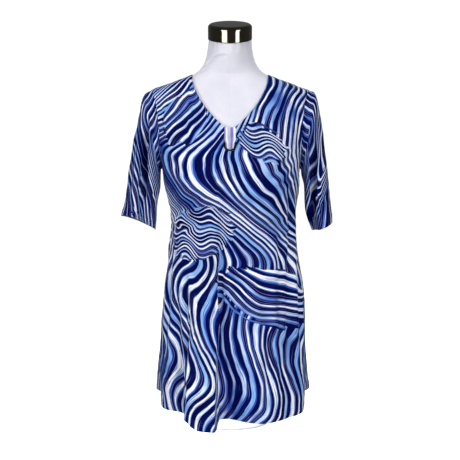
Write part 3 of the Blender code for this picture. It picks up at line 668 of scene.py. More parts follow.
def sleeve_grid(side, rings):
    """Rows from the armhole to the cuff by columns round, from the inside by the back to the inside."""
    turn = np.radians(180.0 + np.arange(2 * YOKE_ROWS) * 180.0 / YOKE_ROWS)
    stations = [sleeve_ring(ring, side, turn) for ring in rings]
    stations.insert(0, armhole_ring(side, turn, stations[0]))
    knots = np.arange(len(stations), dtype=float)
    keys = np.linspace(0, len(stations) - 1, (len(stations) - 1) * ROWS_A_RING + 1)
    return curve_through(knots, np.array(stations), keys), turn


def grid_normals(points, closed):
    """Normals of a grid, from its neighbours."""
    if closed:
        across = np.roll(points, -1, axis=1) - np.roll(points, 1, axis=1)
    else:
        across = np.gradient(points, axis=1)
    return unit(np.cross(across, np.gradient(points, axis=0)))


# Creases


def smooth_route(points, steps=10):
    """A rounded line through points."""
    points = np.array(points, dtype=float)
    keys = np.linspace(0, len(points) - 1, (len(points) - 1) * steps + 1)
    padded = np.concatenate((2 * points[:1] - points[1:2], points, 2 * points[-1:] - points[-2:-1]))
    i = np.minimum(keys.astype(int), len(points) - 2)
    t = (keys - i)[:, None]
    a, b, c, d = (padded[i + k] for k in range(4))
    return 0.5 * (2 * b + (c - a) * t + (2 * a - 5 * b + 4 * c - d) * t**2 + (3 * b - a - 3 * c + d) * t**3)


def crease_field(points, normals, line, crease):
    """How far a crease moves each point outward. line is its route in space."""
    flat = points.reshape(-1, 3)
    best = np.full(len(flat), 9.0)
    share = np.zeros(len(flat))
    side = np.zeros(len(flat))
    lengths = np.linalg.norm(np.diff(line, axis=0), axis=1)
    start = np.concatenate(([0.0], np.cumsum(lengths)))
    out = normals.reshape(-1, 3)
    for k, length in enumerate(lengths):
        step = (line[k + 1] - line[k]) / max(length, 1e-9)
        offset = flat - line[k]
        t = np.clip(offset @ step, 0.0, length)
        away = offset - t[:, None] * step
        distance = np.linalg.norm(away, axis=1)
        nearer = distance < best
        best = np.where(nearer, distance, best)
        share = np.where(nearer, (start[k] + t) / start[-1], share)
        turn = np.sum(np.cross(np.broadcast_to(step, away.shape), away) * out, axis=1)
        side = np.where(nearer, np.sign(turn), side)
    width = crease.width * (0.75 + 0.5 * np.sin(np.pi * share))
    taper = ease(share / 0.3) * ease((1.0 - share) / 0.35)
    trough = np.exp(-((best / width) ** 2))
    ridge = np.exp(-(((best - 2.0 * width) / (0.95 * width)) ** 2)) * (0.42 + 0.3 * crease.lean * side)
    return (CREASE_STRENGTH * crease.depth * taper * (ridge - trough)).reshape(points.shape[:-1])


def edge_distance(points, edge):
    """Distance of each grid point from a line of points."""
    flat = points.reshape(-1, 3)
    best = np.full(len(flat), 9.0)
    for a, b in zip(edge[:-1], edge[1:]):
        step = b - a
        size = float(step @ step)
        t = np.clip((flat - a) @ step / max(size, 1e-12), 0.0, 1.0)
        best = np.minimum(best, np.linalg.norm(flat - a - t[:, None] * step, axis=1))
    return best.reshape(points.shape[:-1])


def cosine_noise(u, v, seed, scale):
    """Smooth noise of about -1 to 1, from a sum of waves, the same on every run."""
    rng = np.random.default_rng(seed)
    total = 0.0 * u
    for _ in range(7):
        direction = rng.uniform(0, 2 * np.pi)
        length = scale * rng.uniform(0.6, 1.7)
        phase = rng.uniform(0, 2 * np.pi)
        total = total + np.cos(2 * np.pi * (u * np.cos(direction) + v * np.sin(direction)) / length + phase)
    return total / 4.0


# Print


class Flow(NamedTuple):
    """A print's layers on a cloth piece: (phase in stripes, distance along) for broad waves, arcs and
    ripples, and how far inside the patches of arcs and of ripples each point lies."""

    waves: np.ndarray
    arcs: np.ndarray
    ripples: np.ndarray
    patch: np.ndarray


class Motif(NamedTuple):
    """A patch of the print: its middle, half sizes and turn in degrees."""

    u: float
    v: float
    half_u: float
    half_v: float
    turn: float


class Pitch(NamedTuple):
    """How wide a stripe is in each layer of the print."""

    waves: float
    arcs: float
    ripples: float


BODY_PITCH = Pitch(0.0190, 0.0150, 0.0098)
SLEEVE_PITCH = Pitch(0.0175, 0.0140, 0.0095)


def inside(u, v, motifs, seed):
    """About how far inside the nearest patch a point lies, in metres."""
    best = np.full(u.shape, -1.0)
    for motif in motifs:
        turn = math.radians(motif.turn)
        across = (u - motif.u) * math.cos(turn) + (v - motif.v) * math.sin(turn)
        up = (v - motif.v) * math.cos(turn) - (u - motif.u) * math.sin(turn)
        away = ((np.abs(across) / motif.half_u) ** 2.6 + (np.abs(up) / motif.half_v) ** 2.6) ** (1 / 2.6)
        best = np.maximum(best, (1.0 - away) * min(motif.half_u, motif.half_v))
    return best + 0.010 * cosine_noise(u, v, seed, 0.16)


def body_flow(u, v, seed, mirror, arcs, ripples):
    """The print of a panel. u is across and v up from the floor, both in metres."""
    across = u * mirror
    lean = 0.10 * v - 0.23 * ease((v - 0.37) / 0.27) + 0.16 * ease((v - 0.60) / 0.20)
    kink = 0.026 * np.sin(2 * np.pi * (v / 0.27 + 1.3 * across + 0.12 * seed))
    wave = 0.010 * cosine_noise(u, v, seed, 0.17)
    waves = np.stack(((across - lean + kink + wave) / BODY_PITCH.waves, v + 0.3 * across), axis=-1)
    middle_u, middle_v = 0.21 * mirror, 0.56
    bent = 0.012 * cosine_noise(u, v, seed + 1, 0.13)
    radius = np.hypot((u - middle_u) * 0.85, v - middle_v) + bent
    turn = np.arctan2(v - middle_v, u - middle_u) * 0.25
    arc = np.stack((radius / BODY_PITCH.arcs, turn), axis=-1)
    ripple = v + 0.34 * across + 0.010 * np.sin(2 * np.pi * across / 0.075 + 5 * v)
    ripple = ripple + 0.005 * cosine_noise(u, v, seed + 2, 0.09)
    fine = np.stack((ripple / BODY_PITCH.ripples, across), axis=-1)
    patch = np.stack((inside(u, v, arcs, seed + 3), inside(u, v, ripples, seed + 4)), axis=-1)
    return Flow(waves, arc, fine, patch)


def sleeve_flow(u, v, seed, side, arcs, ripples):
    """The print of a sleeve. u is round it from the underarm seam, v down from the armhole."""
    swing = 0.014 * np.sin(2 * np.pi * v / 0.26 + seed) + 0.30 * side * v
    wave = 0.005 * cosine_noise(u, v, seed, 0.15)
    waves = np.stack(((u + swing + wave) / SLEEVE_PITCH.waves, v), axis=-1)
    radius = np.hypot(u - 0.06, (v + 0.12) * 0.8) + 0.004 * cosine_noise(u, v, seed + 1, 0.13)
    arc = np.stack((radius / SLEEVE_PITCH.arcs, u), axis=-1)
    ripple = v + 0.010 * np.sin(2 * np.pi * u / 0.08 + seed) + 0.2 * side * u
    fine = np.stack((ripple / SLEEVE_PITCH.ripples, u), axis=-1)
    patch = np.stack((inside(u, v, arcs, seed + 3), inside(u, v, ripples, seed + 4)), axis=-1)
    return Flow(waves, arc, fine, patch)


# Patches of arcs and of ripples on each piece
FRONT_ARCS = (Motif(0.090, 0.300, 0.115, 0.055, -18.0), Motif(-0.130, 0.690, 0.050, 0.060, 30.0))
FRONT_RIPPLES = (Motif(-0.085, 0.440, 0.075, 0.060, 24.0), Motif(0.085, 0.640, 0.050, 0.038, -35.0))
BACK_ARCS = (Motif(-0.060, 0.330, 0.120, 0.060, 14.0), Motif(0.120, 0.640, 0.060, 0.070, 10.0))
BACK_RIPPLES = (Motif(0.080, 0.480, 0.070, 0.060, -20.0), Motif(-0.110, 0.150, 0.050, 0.045, 30.0))
LEFT_ARCS = (Motif(0.050, 0.120, 0.060, 0.050, 12.0),)
LEFT_RIPPLES = (Motif(0.250, 0.235, 0.050, 0.032, -20.0),)
RIGHT_ARCS = (Motif(0.070, 0.150, 0.055, 0.045, -14.0),)
RIGHT_RIPPLES = (Motif(0.210, 0.200, 0.060, 0.032, 14.0),)


# Meshes


def grid_faces(rows, columns, closed):
    """The four corners of each face of a grid, as rows and columns."""
    steps = columns if closed else columns - 1
    r, c = np.meshgrid(np.arange(rows - 1), np.arange(steps), indexing="ij")
    r, c = r.ravel(), c.ravel()
    return np.stack((np.stack((r, c)), np.stack((r, c + 1)), np.stack((r + 1, c + 1)), np.stack((r + 1, c))))


def link_mesh(name, mesh, materials):
    """A smooth-shaded object for a mesh, in the scene."""
    mesh.shade_smooth()
    for material in materials:
        mesh.materials.append(material)
    thing = bpy.data.objects.new(name, mesh)
    bpy.context.scene.collection.objects.link(thing)
    return thing


def face_outward(mesh):
    bm = bmesh.new()
    bm.from_mesh(mesh)
    bmesh.ops.recalc_face_normals(bm, faces=bm.faces)
    bm.to_mesh(mesh)
    bm.free()


def from_bmesh(name, bm, material):
    mesh = bpy.data.meshes.new(name)
    bm.to_mesh(mesh)
    bm.free()
    return link_mesh(name, mesh, [material])


def sheet_object(name, outer, normals, closed, layers, materials, thickness):
    """A thin closed sheet with its outer side on a grid of points. layers are named grids of (u, v); on a
    closed grid they have one more column, for the far side of the seam. The second material is inside."""
    rows, columns = outer.shape[:2]
    inner = outer - normals * thickness
    verts = np.concatenate((outer.reshape(-1, 3), inner.reshape(-1, 3)))
    face = grid_faces(rows, columns, closed)
    probe = face[:, :, len(face[0, 0]) // 2]
    a, b, c = (outer[probe[k, 0], probe[k, 1] % columns] for k in range(3))
    if np.dot(np.cross(b - a, c - b), normals[probe[0, 0], probe[0, 1] % columns]) < 0:
        face = face[::-1]
    rim = [rim_faces(rows, columns, closed, edge) for edge in ("low", "high")]
    if not closed:
        rim += [rim_faces(rows, columns, closed, edge) for edge in ("first", "last")]
    rim = np.concatenate(rim, axis=2)
    skin = np.zeros(face.shape[2], dtype=int)
    corners = np.concatenate((face, face[::-1], rim[:, :2]), axis=2)
    inside = np.concatenate((np.stack([skin] * 4), np.stack([skin + 1] * 4), rim[:, 2]), axis=1)
    index = corners[:, 0] * columns + corners[:, 1] % columns + inside * rows * columns
    mesh = bpy.data.meshes.new(name)
    mesh.from_pydata(verts.tolist(), [], index.T.tolist())
    for layer, values in layers.items():
        uv = mesh.uv_layers.new(name=layer)
        picked = values[corners[:, 0].T.ravel(), corners[:, 1].T.ravel()]
        uv.data.foreach_set("uv", picked.astype(np.float32).ravel())
    slots = np.zeros(corners.shape[2], dtype=np.int32)
    slots[face.shape[2]:2 * face.shape[2]] = len(materials) - 1
    mesh.polygons.foreach_set("material_index", slots)
    face_outward(mesh)
    sheet = link_mesh(name, mesh, materials)
    mesh.set_sharp_from_angle(angle=math.radians(SHEET_SHARP_ANGLE))
    return sheet


def rim_faces(rows, columns, closed, edge):
    """Faces that join the two sides along an edge, as rows, columns and side of each corner."""
    if edge in ("low", "high"):
        c = np.arange(columns if closed else columns - 1)
        r = np.full(len(c), 0 if edge == "low" else rows - 1)
        ends = ((r, c), (r, c + 1))
    else:
        r = np.arange(rows - 1)
        c = np.full(len(r), 0 if edge == "first" else columns - 1)
        ends = ((r, c), (r + 1, c))
    (r1, c1), (r2, c2) = ends
    zero = np.zeros(len(r1), dtype=int)
    corners = ((r1, c1, zero), (r2, c2, zero), (r2, c2, zero + 1), (r1, c1, zero + 1))
    return np.stack([np.stack(corner) for corner in corners])


def arc_lengths(points, axis, closed=False):
    """Distance along each row or column of a grid, from its first point."""
    if closed:
        points = np.concatenate((points, points[:, :1]), axis=1)
    steps = np.linalg.norm(np.diff(points, axis=axis), axis=-1)
    zero = np.zeros_like(np.take(steps, [0], axis=axis))
    return np.concatenate((zero, np.cumsum(steps, axis=axis)), axis=axis)


def tree_of(thing):
    mesh = thing.data
    verts = [thing.matrix_world @ v.co for v in mesh.vertices]
    return BVHTree.FromPolygons(verts, [tuple(p.vertices) for p in mesh.polygons])


def stay_clear(points, tree, clearance):
    """Moves points out of a solid, until they are at least clearance from it."""
    flat = points.reshape(-1, 3)
    for k, point in enumerate(flat):
        found, normal, _, distance = tree.find_nearest(Vector(point), 0.03)
        if found is None:
            continue
        out = (Vector(point) - found).dot(normal)
        if out < clearance:
            flat[k] = np.array(Vector(point) + normal * (clearance - out))
    return points


def stitches(name, route, normals, material):
    """Short raised stitches along a route on the cloth."""
    route, normals = np.asarray(route), np.asarray(normals)
    lengths = np.concatenate(([0.0], np.cumsum(np.linalg.norm(np.diff(route, axis=0), axis=1))))
    count = max(int(lengths[-1] / STITCH_STEP), 1)
    bm = bmesh.new()
    for k in range(count):
        ends = [k * STITCH_STEP + 0.0005, k * STITCH_STEP + 0.0005 + STITCH_LENGTH]
        if ends[1] > lengths[-1]:
            break
        a, b = (np.array([np.interp(s, lengths, route[:, i]) for i in range(3)]) for s in ends)
        normal = unit(np.array([np.interp(ends[0], lengths, normals[:, i]) for i in range(3)]))
        along = unit(b - a)
        across = np.cross(along, normal) * STITCH_WIDTH / 2
        rise = normal * (STITCH_RISE + STITCH_WIDTH * 0.6)
        sink = -normal * 0.0002
        middle = (a + b) / 2 + rise
        ring_a = [a - across + sink, a + across + sink]
        ring_b = [b - across + sink, b + across + sink]
        low = [bm.verts.new(p) for p in (*ring_a, *reversed(ring_b))]
        top = [bm.verts.new(middle - along * 0.0006), bm.verts.new(middle + along * 0.0006)]
        bm.faces.new((low[0], low[1], top[0]))
        bm.faces.new((low[1], low[2], top[1], top[0]))
        bm.faces.new((low[2], low[3], top[1]))
        bm.faces.new((low[3], low[0], top[0], top[1]))
    return from_bmesh(name, bm, material)


# Materials


class Nodes:
    """Adds nodes to a material and joins them."""

    def __init__(self, material):
        self.tree = material.node_tree

    def add(self, kind, **settings):
        node = self.tree.nodes.new(kind)
        for key, value in settings.items():
            setattr(node, key, value)
        return node

    def join(self, source, socket):
        if isinstance(source, (int, float, tuple)):
            socket.default_value = source
        else:
            self.tree.links.new(source, socket)

    def math(self, operation, *inputs):
        node = self.add("ShaderNodeMath", operation=operation)
        for socket, source in zip(node.inputs, inputs):
            self.join(source, socket)
        return node.outputs[0]

    def plus(self, a, b):
        return self.math("ADD", a, b)

    def minus(self, a, b):
        return self.math("SUBTRACT", a, b)

    def times(self, a, b):
        return self.math("MULTIPLY", a, b)

    def swing(self, noise, amount):
        """Noise moved to lie about 0, over a range of amount."""
        return self.times(self.minus(noise, 0.5), amount)

    def smooth(self, value, low, high):
        """0 below low, 1 above high, smooth between."""
        node = self.add("ShaderNodeMapRange", interpolation_type="SMOOTHSTEP")
        self.join(value, node.inputs["Value"])
        self.join(low, node.inputs["From Min"])
        self.join(high, node.inputs["From Max"])
        return node.outputs["Result"]

    def mix_value(self, a, b, share):
        node = self.add("ShaderNodeMix", data_type="FLOAT")
        self.join(share, node.inputs[0])
        self.join(a, node.inputs[2])
        self.join(b, node.inputs[3])
        return node.outputs[0]

    def mix_colour(self, a, b, share):
        node = self.add("ShaderNodeMix", data_type="RGBA")
        self.join(share, node.inputs[0])
        self.join(a, node.inputs[6])
        self.join(b, node.inputs[7])
        return node.outputs[2]

    def layer(self, name):
        """A UV layer as its two numbers."""
        uv = self.add("ShaderNodeUVMap", uv_map=name)
        parts = self.add("ShaderNodeSeparateXYZ")
        self.join(uv.outputs[0], parts.inputs[0])
        return parts.outputs[0], parts.outputs[1]

    def vector(self, x, y, z=0.0):
        node = self.add("ShaderNodeCombineXYZ")
        for socket, source in zip(node.inputs, (x, y, z)):
            self.join(source, socket)
        return node.outputs[0]

    def noise(self, vector, scale, detail=2.0, roughness=0.5):
        node = self.add("ShaderNodeTexNoise")
        self.join(vector, node.inputs["Vector"])
        node.inputs["Scale"].default_value = scale
        node.inputs["Detail"].default_value = detail
        node.inputs["Roughness"].default_value = roughness
        return node.outputs["Fac"]

    def brushed(self, across, fineness, along, length, offset=0.0, detail=2.0, roughness=0.5):
        """Noise stretched along one of its two directions."""
        place = self.vector(self.times(across, fineness), self.times(along, length), offset)
        return self.noise(place, 1.0, detail, roughness)

    def bump(self, shader, height, strength):
        """Fine relief on a shader."""
        node = self.add("ShaderNodeBump")
        node.inputs["Strength"].default_value = strength
        node.inputs["Distance"].default_value = RELIEF
        self.join(height, node.inputs["Height"])
        self.join(node.outputs[0], shader.inputs["Normal"])


def new_material(name, colour, roughness, metallic=0.0, **sockets):
    material = bpy.data.materials.new(name)
    material.use_nodes = True
    shader = material.node_tree.nodes["Principled BSDF"]
    shader.inputs["Base Color"].default_value = (*colour, 1.0)
    shader.inputs["Roughness"].default_value = roughness
    shader.inputs["Metallic"].default_value = metallic
    for key, value in sockets.items():
        shader.inputs[key.replace("_", " ").title().replace("Ior", "IOR")].default_value = value
    return material, shader


# Relief of the finishes at full strength, and the knit's ribs and loops
RELIEF = 0.0002
RIB_WIDTH = 0.0012
LOOP_LENGTH = 0.0010

NAVY = (0.0008, 0.0018, 0.066, 1.0)
INK = (0.0006, 0.0010, 0.026, 1.0)
MID_BLUE = (0.024, 0.086, 0.440, 1.0)
LIGHT_BLUE = (0.250, 0.450, 0.830, 1.0)
WHITE = (0.900, 0.910, 0.970, 1.0)
VIOLET = (0.250, 0.240, 0.560, 1.0)
WRONG_SIDE = (0.62, 0.66, 0.82, 1.0)


def knit_bump(nodes, shader, u, v, strength):
    """Fine ribs of jersey, with loops along them."""
    rib = nodes.math("SINE", nodes.times(u, math.tau / RIB_WIDTH))
    loop = nodes.math("SINE", nodes.times(v, math.tau / LOOP_LENGTH))
    nodes.bump(shader, nodes.plus(rib, nodes.times(loop, 0.5)), strength)


def chosen_layer(nodes, depth, ragged):
    """1 inside a patch of the print, whose edge is made ragged."""
    return nodes.math("GREATER_THAN", nodes.plus(depth, nodes.swing(ragged, 0.045)), 0.0)


def printed_jersey(name, fade, light_share):
    """Jersey printed with brushed stripes that follow the cloth's flow layers. fade is the wrong side's
    paleness, light_share the least share of a stripe that stays light."""
    material, shader = new_material(
        name, (0.1, 0.2, 0.6), 0.55, sheen_weight=0.0, sheen_roughness=0.4, specular_ior_level=0.02
    )
    nodes = Nodes(material)
    u, v = nodes.layer("flat")
    wave_phase, wave_along = nodes.layer("flow_waves")
    arc_phase, arc_along = nodes.layer("flow_arcs")
    ripple_phase, ripple_along = nodes.layer("flow_ripples")
    in_arcs, in_ripples = nodes.layer("patch")

    # Which layer shows, and where in it each point lies
    place = nodes.vector(u, v)
    pick_arcs = chosen_layer(nodes, in_arcs, nodes.brushed(arc_phase, 1.4, arc_along, 9.0))
    ragged = nodes.brushed(ripple_phase, 1.2, ripple_along, 8.0, offset=4.0)
    pick_ripples = chosen_layer(nodes, in_ripples, ragged)
    phase = nodes.mix_value(nodes.mix_value(wave_phase, arc_phase, pick_arcs), ripple_phase, pick_ripples)
    along = nodes.mix_value(nodes.mix_value(wave_along, arc_along, pick_arcs), ripple_along, pick_ripples)
    phase = nodes.plus(phase, nodes.swing(nodes.noise(place, 13.0, 1.0), 1.0))

    # Each stripe's own random width, tone and edge
    stripe = nodes.math("FLOOR", phase)
    seed = nodes.plus(stripe, nodes.plus(nodes.times(pick_arcs, 37.5), nodes.times(pick_ripples, 71.5)))
    chance = nodes.add("ShaderNodeTexWhiteNoise", noise_dimensions="1D")
    nodes.join(seed, chance.inputs["W"])
    parts = nodes.add("ShaderNodeSeparateColor")
    nodes.join(chance.outputs["Color"], parts.inputs[0])
    random_width, random_tone, random_edge = parts.outputs

    # How far inside its stripe each point lies
    across = nodes.minus(phase, stripe)
    away = nodes.math("ABSOLUTE", nodes.minus(nodes.times(across, 2.0), 1.0))
    swell = nodes.brushed(seed, 3.1, along, 11.0, detail=1.0)
    streak = nodes.brushed(phase, 8.0, along, 13.0, detail=3.0, roughness=0.6)
    hair = nodes.brushed(phase, 19.0, along, 24.0, offset=7.0)
    width = nodes.plus(light_share, nodes.times(random_width, 0.30))
    width = nodes.plus(width, nodes.swing(swell, 0.75))
    depth = nodes.plus(nodes.minus(width, away), nodes.swing(streak, 0.65))

    # Dark ground with hairs and a blue edge, then the light stripe and its white core
    blue_edge = nodes.times(nodes.smooth(depth, -0.34, -0.20), nodes.math("GREATER_THAN", random_edge, 0.45))
    blue_edge = nodes.times(blue_edge, nodes.math("GREATER_THAN", across, 0.5))
    light = nodes.smooth(depth, -0.02, 0.05)
    core = nodes.smooth(depth, 0.06, 0.20)
    tone = nodes.noise(place, 9.0, 2.0)
    bright = nodes.smooth(nodes.plus(nodes.times(random_tone, 0.55), tone), 0.55, 0.85)
    colour = nodes.mix_colour(NAVY, INK, nodes.smooth(hair, 0.45, 0.75))
    colour = nodes.mix_colour(colour, MID_BLUE, nodes.times(nodes.smooth(hair, 0.60, 0.72), 0.35))
    colour = nodes.mix_colour(colour, MID_BLUE, nodes.times(blue_edge, 0.9))
    paleness = nodes.smooth(nodes.plus(tone, nodes.times(random_width, 0.3)), 0.40, 0.62)
    colour = nodes.mix_colour(colour, nodes.mix_colour(MID_BLUE, LIGHT_BLUE, paleness), light)
    colour = nodes.mix_colour(colour, WHITE, nodes.times(core, bright))

    # Fine lines: navy on the light stripes, violet on the dark ground, and blue scratches
    fine = nodes.math("PINGPONG", nodes.plus(nodes.times(phase, 3.5), swell), 0.5)
    gate = nodes.brushed(phase, 0.8, along, 7.0, offset=3.0)
    line = nodes.times(nodes.smooth(fine, 0.13, 0.05), nodes.smooth(gate, 0.48, 0.56))
    colour = nodes.mix_colour(colour, NAVY, nodes.times(nodes.times(line, light), 0.85))
    on_dark = nodes.times(nodes.smooth(fine, 0.38, 0.46), nodes.smooth(gate, 0.50, 0.42))
    on_dark = nodes.times(on_dark, nodes.minus(1.0, light))
    colour = nodes.mix_colour(colour, VIOLET, nodes.times(on_dark, 0.65))
    scratch = nodes.times(nodes.smooth(hair, 0.52, 0.62), light)
    colour = nodes.mix_colour(colour, MID_BLUE, nodes.times(scratch, 0.7))
    if fade:
        colour = nodes.mix_colour(colour, WRONG_SIDE, fade)
    nodes.join(colour, shader.inputs["Base Color"])
    knit_bump(nodes, shader, u, v, 0.25)
    return material


# Cloth pieces


def print_layers(flat, flow):
    """The UV layers that the printed jersey reads."""
    return {
        "flat": flat,
        "flow_waves": flow.waves,
        "flow_arcs": flow.arcs,
        "flow_ripples": flow.ripples,
        "patch": flow.patch,
    }


def hem_share(from_edge):
    """1 on a turned hem, 0 above it."""
    return ease((HEM_DEPTH + HEM_OVERLAP - from_edge) / HEM_STEP)


def needle_dip(from_edge, line_at):
    """How far the thread presses the cloth in beside a row of stitches."""
    return NEEDLE_PRESS * np.exp(-(((from_edge - line_at) / NEEDLE_WIDTH) ** 2))


def face_like(points, normals, closed):
    """A grid's own normals, on the side that other normals point to."""
    facing = grid_normals(points, closed)
    return facing * np.sign(np.sum(facing * normals, axis=-1, keepdims=True))


def rows_at(lengths, depths):
    """The row number, which may lie between two rows, where each column's length reaches its depth."""
    numbers = np.arange(len(lengths))
    return np.array([np.interp(depth, column, numbers) for depth, column in zip(depths, lengths.T)])


def read_rows(points, normals, row):
    """Points and normals of each column at a row number that may lie between two rows."""
    low = np.minimum(row.astype(int), len(points) - 2)
    t = (row - low)[:, None]
    c = np.arange(points.shape[1])
    return mix(points[low, c], points[low + 1, c], t), mix(normals[low, c], normals[low + 1, c], t)


def dress_panel(name, front, creases, motifs, seed, form, thread):
    """The front or the back as thin cloth, with creases, print, turned hem and stitches."""
    base, normals, shares = panel_grid(front)
    out = np.zeros(base.shape[:2])
    for crease in creases:
        route = smooth_route(crease.route)
        line, _ = surface_at(route[:, 0], route[:, 1], front)
        out += crease_field(base, normals, line, crease)
    from_hem = arc_lengths(base, 0)
    across = arc_lengths(base, 1)
    centre = int(np.argmin(np.abs(shares)))
    u = across - across[:, centre:centre + 1]
    u = u if front else -u
    v = base[..., 2]
    out += 0.0011 * cosine_noise(u, v, seed, 0.075) + 0.0005 * cosine_noise(u, v, seed + 9, 0.030)

    # Seams, neckline and turned hem
    edges = [base[-1], base[:, 0], base[:, -1]]
    to_edge = np.min([edge_distance(base, edge[::3]) for edge in edges], axis=0)
    out *= ease(to_edge / EDGE_FADE)
    out -= SEAM_DIP * np.exp(-((to_edge / PANEL_SEAM_WIDTH) ** 2))
    out += PANEL_HEM_RISE * hem_share(from_hem)
    pucker = 1.0 + 0.5 * np.sin(2 * np.pi * u / 0.011 + 3 * cosine_noise(u, v, seed + 5, 0.05))
    for line_at in NEEDLE_LINES:
        out -= needle_dip(from_hem, line_at) * pucker
    points = base + normals * out[..., None]
    points = stay_clear(points, form, SHELL + FORM_CLEARANCE)
    keep_side(points, front)

    flow = body_flow(u, v, seed, 1.0 if front else -1.0, *motifs)
    layers = print_layers(np.stack((u, from_hem), axis=-1), flow)
    facing = face_like(points, normals, False)
    panel = sheet_object(name, points, facing, False, layers, BODY_JERSEY, SHELL)
    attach(panel, "root")

    extras = []
    for k, line_at in enumerate(NEEDLE_LINES):
        row = rows_at(from_hem, np.full(points.shape[1], line_at))
        extras.append(stitches(f"{name}_hem_stitches_{k + 1}", *read_rows(points, normals, row), thread))
    neck = np.abs(shares) <= NECK_SHARE
    row = rows_at(from_hem[:, neck], from_hem[-1, neck] - NECK_NEEDLE_LINE)
    route = read_rows(points[:, neck], normals[:, neck], row)
    extras.append(stitches(f"{name}_neck_stitches", *route, thread))
    for extra in extras:
        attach(extra, "root")
    return panel


def line_on_sleeve(grid, route):
    """A crease's route, in degrees round and share of the length, as points of a sleeve's grid."""
    rows, count = grid.shape[:2]
    column = ((route[:, 0] - 180.0) % 360.0) / 360.0 * count
    row = route[:, 1] * (rows - 1)
    low_row, low_column = np.minimum(row.astype(int), rows - 2), column.astype(int) % count
    next_column = (low_column + 1) % count
    a, b = (row - low_row)[:, None], (column - column.astype(int))[:, None]
    near = mix(grid[low_row, low_column], grid[low_row + 1, low_column], a)
    far = mix(grid[low_row, next_column], grid[low_row + 1, next_column], a)
    return mix(near, far, b)


def dress_sleeve(name, side, rings, creases, motifs, seed, thread):
    """A sleeve as thin cloth, with creases, print, turned cuff and stitches."""
    base, _ = sleeve_grid(side, rings)
    normals = grid_normals(base, True)
    centre = base.mean(axis=1, keepdims=True)
    if np.sum(normals * (base - centre)) < 0:
        normals = -normals
    out = np.zeros(base.shape[:2])
    rows, count = base.shape[:2]
    for crease in creases:
        line = line_on_sleeve(base, smooth_route(crease.route))
        out += crease_field(base, normals, line, crease)
    down = arc_lengths(base, 0)
    around = arc_lengths(base, 1, closed=True)
    u = around[:, :-1]
    out += 0.0010 * cosine_noise(u, down, seed, 0.065) + 0.0004 * cosine_noise(u, down, seed + 9, 0.028)

    # Beside the body the cloth hardly moves out, so it stays clear of the panel
    beside_body = side * base[..., 0] < side * centre[..., 0]
    out = np.where(beside_body & (out > 0), out * 0.1, out)
    from_cuff = down[-1] - down
    out *= ease(down / EDGE_FADE)
    out -= SEAM_DIP * np.exp(-((down / SLEEVE_SEAM_WIDTH) ** 2)) * ~beside_body
    out += SLEEVE_HEM_RISE * hem_share(from_cuff) * ~beside_body
    out -= needle_dip(from_cuff, NEEDLE_LINES[0])
    points = base + normals * out[..., None]

    # The last column is the first one again, on the far side of the seam
    flat_v = np.concatenate((down, down[:, :1]), axis=1)
    flow = sleeve_flow(around, flat_v, seed, side, *motifs)
    layers = print_layers(np.stack((around, flat_v), axis=-1), flow)
    facing = face_like(points, normals, True)
    sleeve = sheet_object(name, points, facing, True, layers, SLEEVE_JERSEY, SHELL)
    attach(sleeve, "root")

    extras = []
    for k, line_at in enumerate(NEEDLE_LINES):
        row = rows - 1 - rows_at(from_cuff[::-1], np.full(count, line_at))
        route = [np.concatenate((part, part[:1])) for part in read_rows(points, normals, row)]
        extras.append(stitches(f"{name}_cuff_stitches_{k + 1}", *route, thread))
        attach(extras[-1], "root")
    return sleeve


# Tab and ring


def dress_tab(name):
    """The tab as pleated cloth, over the ring."""
    columns, rows = 32, 60
    table = np.array(TAB_ROWS)
    z = np.linspace(table[0, 0], table[-1, 0], rows)
    row = curve_through(table[:, 0], table, z)
    share = np.linspace(-1, 1, columns + 1)
    x = row[:, 1:2] * share[None, :]
    grid_z = z[:, None] + 0.0 * x
    point, normal = surface_at(x, grid_z)
    height = 2.0 * RING_WIRE + 2.0 * SEAM_GAP + TAB_RISE
    lift = SEAM_GAP + row[:, 2:3] * height + TAB_THICKNESS
    pleat = PLEAT_DEPTH * np.cos(share[None, :] * math.pi * 5) * (0.6 + 0.4 * row[:, 2:3])
    rolled = -0.0005 * np.abs(share[None, :]) ** 8
    points = point + normal * (lift + pleat + rolled)[..., None]
    flat = np.stack((x, grid_z), axis=-1)
    layers = {"flat": flat, "pleats": np.stack((share[None, :] + 0 * x, grid_z), axis=-1)}
    tab = sheet_object(name, points, normal, False, layers, [pleated_cloth()], TAB_SHELL)
    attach(tab, "root")
    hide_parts("neck_tab")
    return tab


def pleated_cloth():
    """The tab's cloth: pale lilac, blue-violet lines along its pleats, white edges, and painted shade as a
    dark band down its left edge.
    """
    material, shader = new_material(
        "tab_jersey", (0.7, 0.7, 0.9), 0.5, sheen_weight=0.1, sheen_roughness=0.4
    )
    nodes = Nodes(material)
    across, up = nodes.layer("pleats")
    u, v = nodes.layer("flat")
    streak = nodes.brushed(across, 4.2, up, 26.0, offset=2.0, detail=3.0)
    place = nodes.plus(across, nodes.swing(streak, 0.16))

    def band(low, high, soft=0.07):
        begins = nodes.smooth(place, low - soft, low + soft)
        return nodes.times(begins, nodes.smooth(place, high + soft, high - soft))

    colour = nodes.mix_colour(
        (0.32, 0.32, 0.55, 1.0), (0.52, 0.53, 0.72, 1.0), nodes.smooth(streak, 0.40, 0.60)
    )
    # Painted shade: a dark band down the tab's left edge, where the tab lies in shade
    colour = nodes.mix_colour(colour, (0.10, 0.10, 0.42, 1.0), nodes.times(band(-1.1, -0.82), 0.6))
    colour = nodes.mix_colour(colour, (0.80, 0.80, 0.90, 1.0), band(-0.72, -0.44))
    blue_line = nodes.times(band(0.06, 0.56), nodes.smooth(streak, 0.30, 0.55))
    colour = nodes.mix_colour(colour, (0.13, 0.12, 0.48, 1.0), blue_line)
    colour = nodes.mix_colour(colour, (0.88, 0.88, 0.96, 1.0), band(0.68, 1.10))
    nodes.join(colour, shader.inputs["Base Color"])
    knit_bump(nodes, shader, u, v, 0.25)
    return material


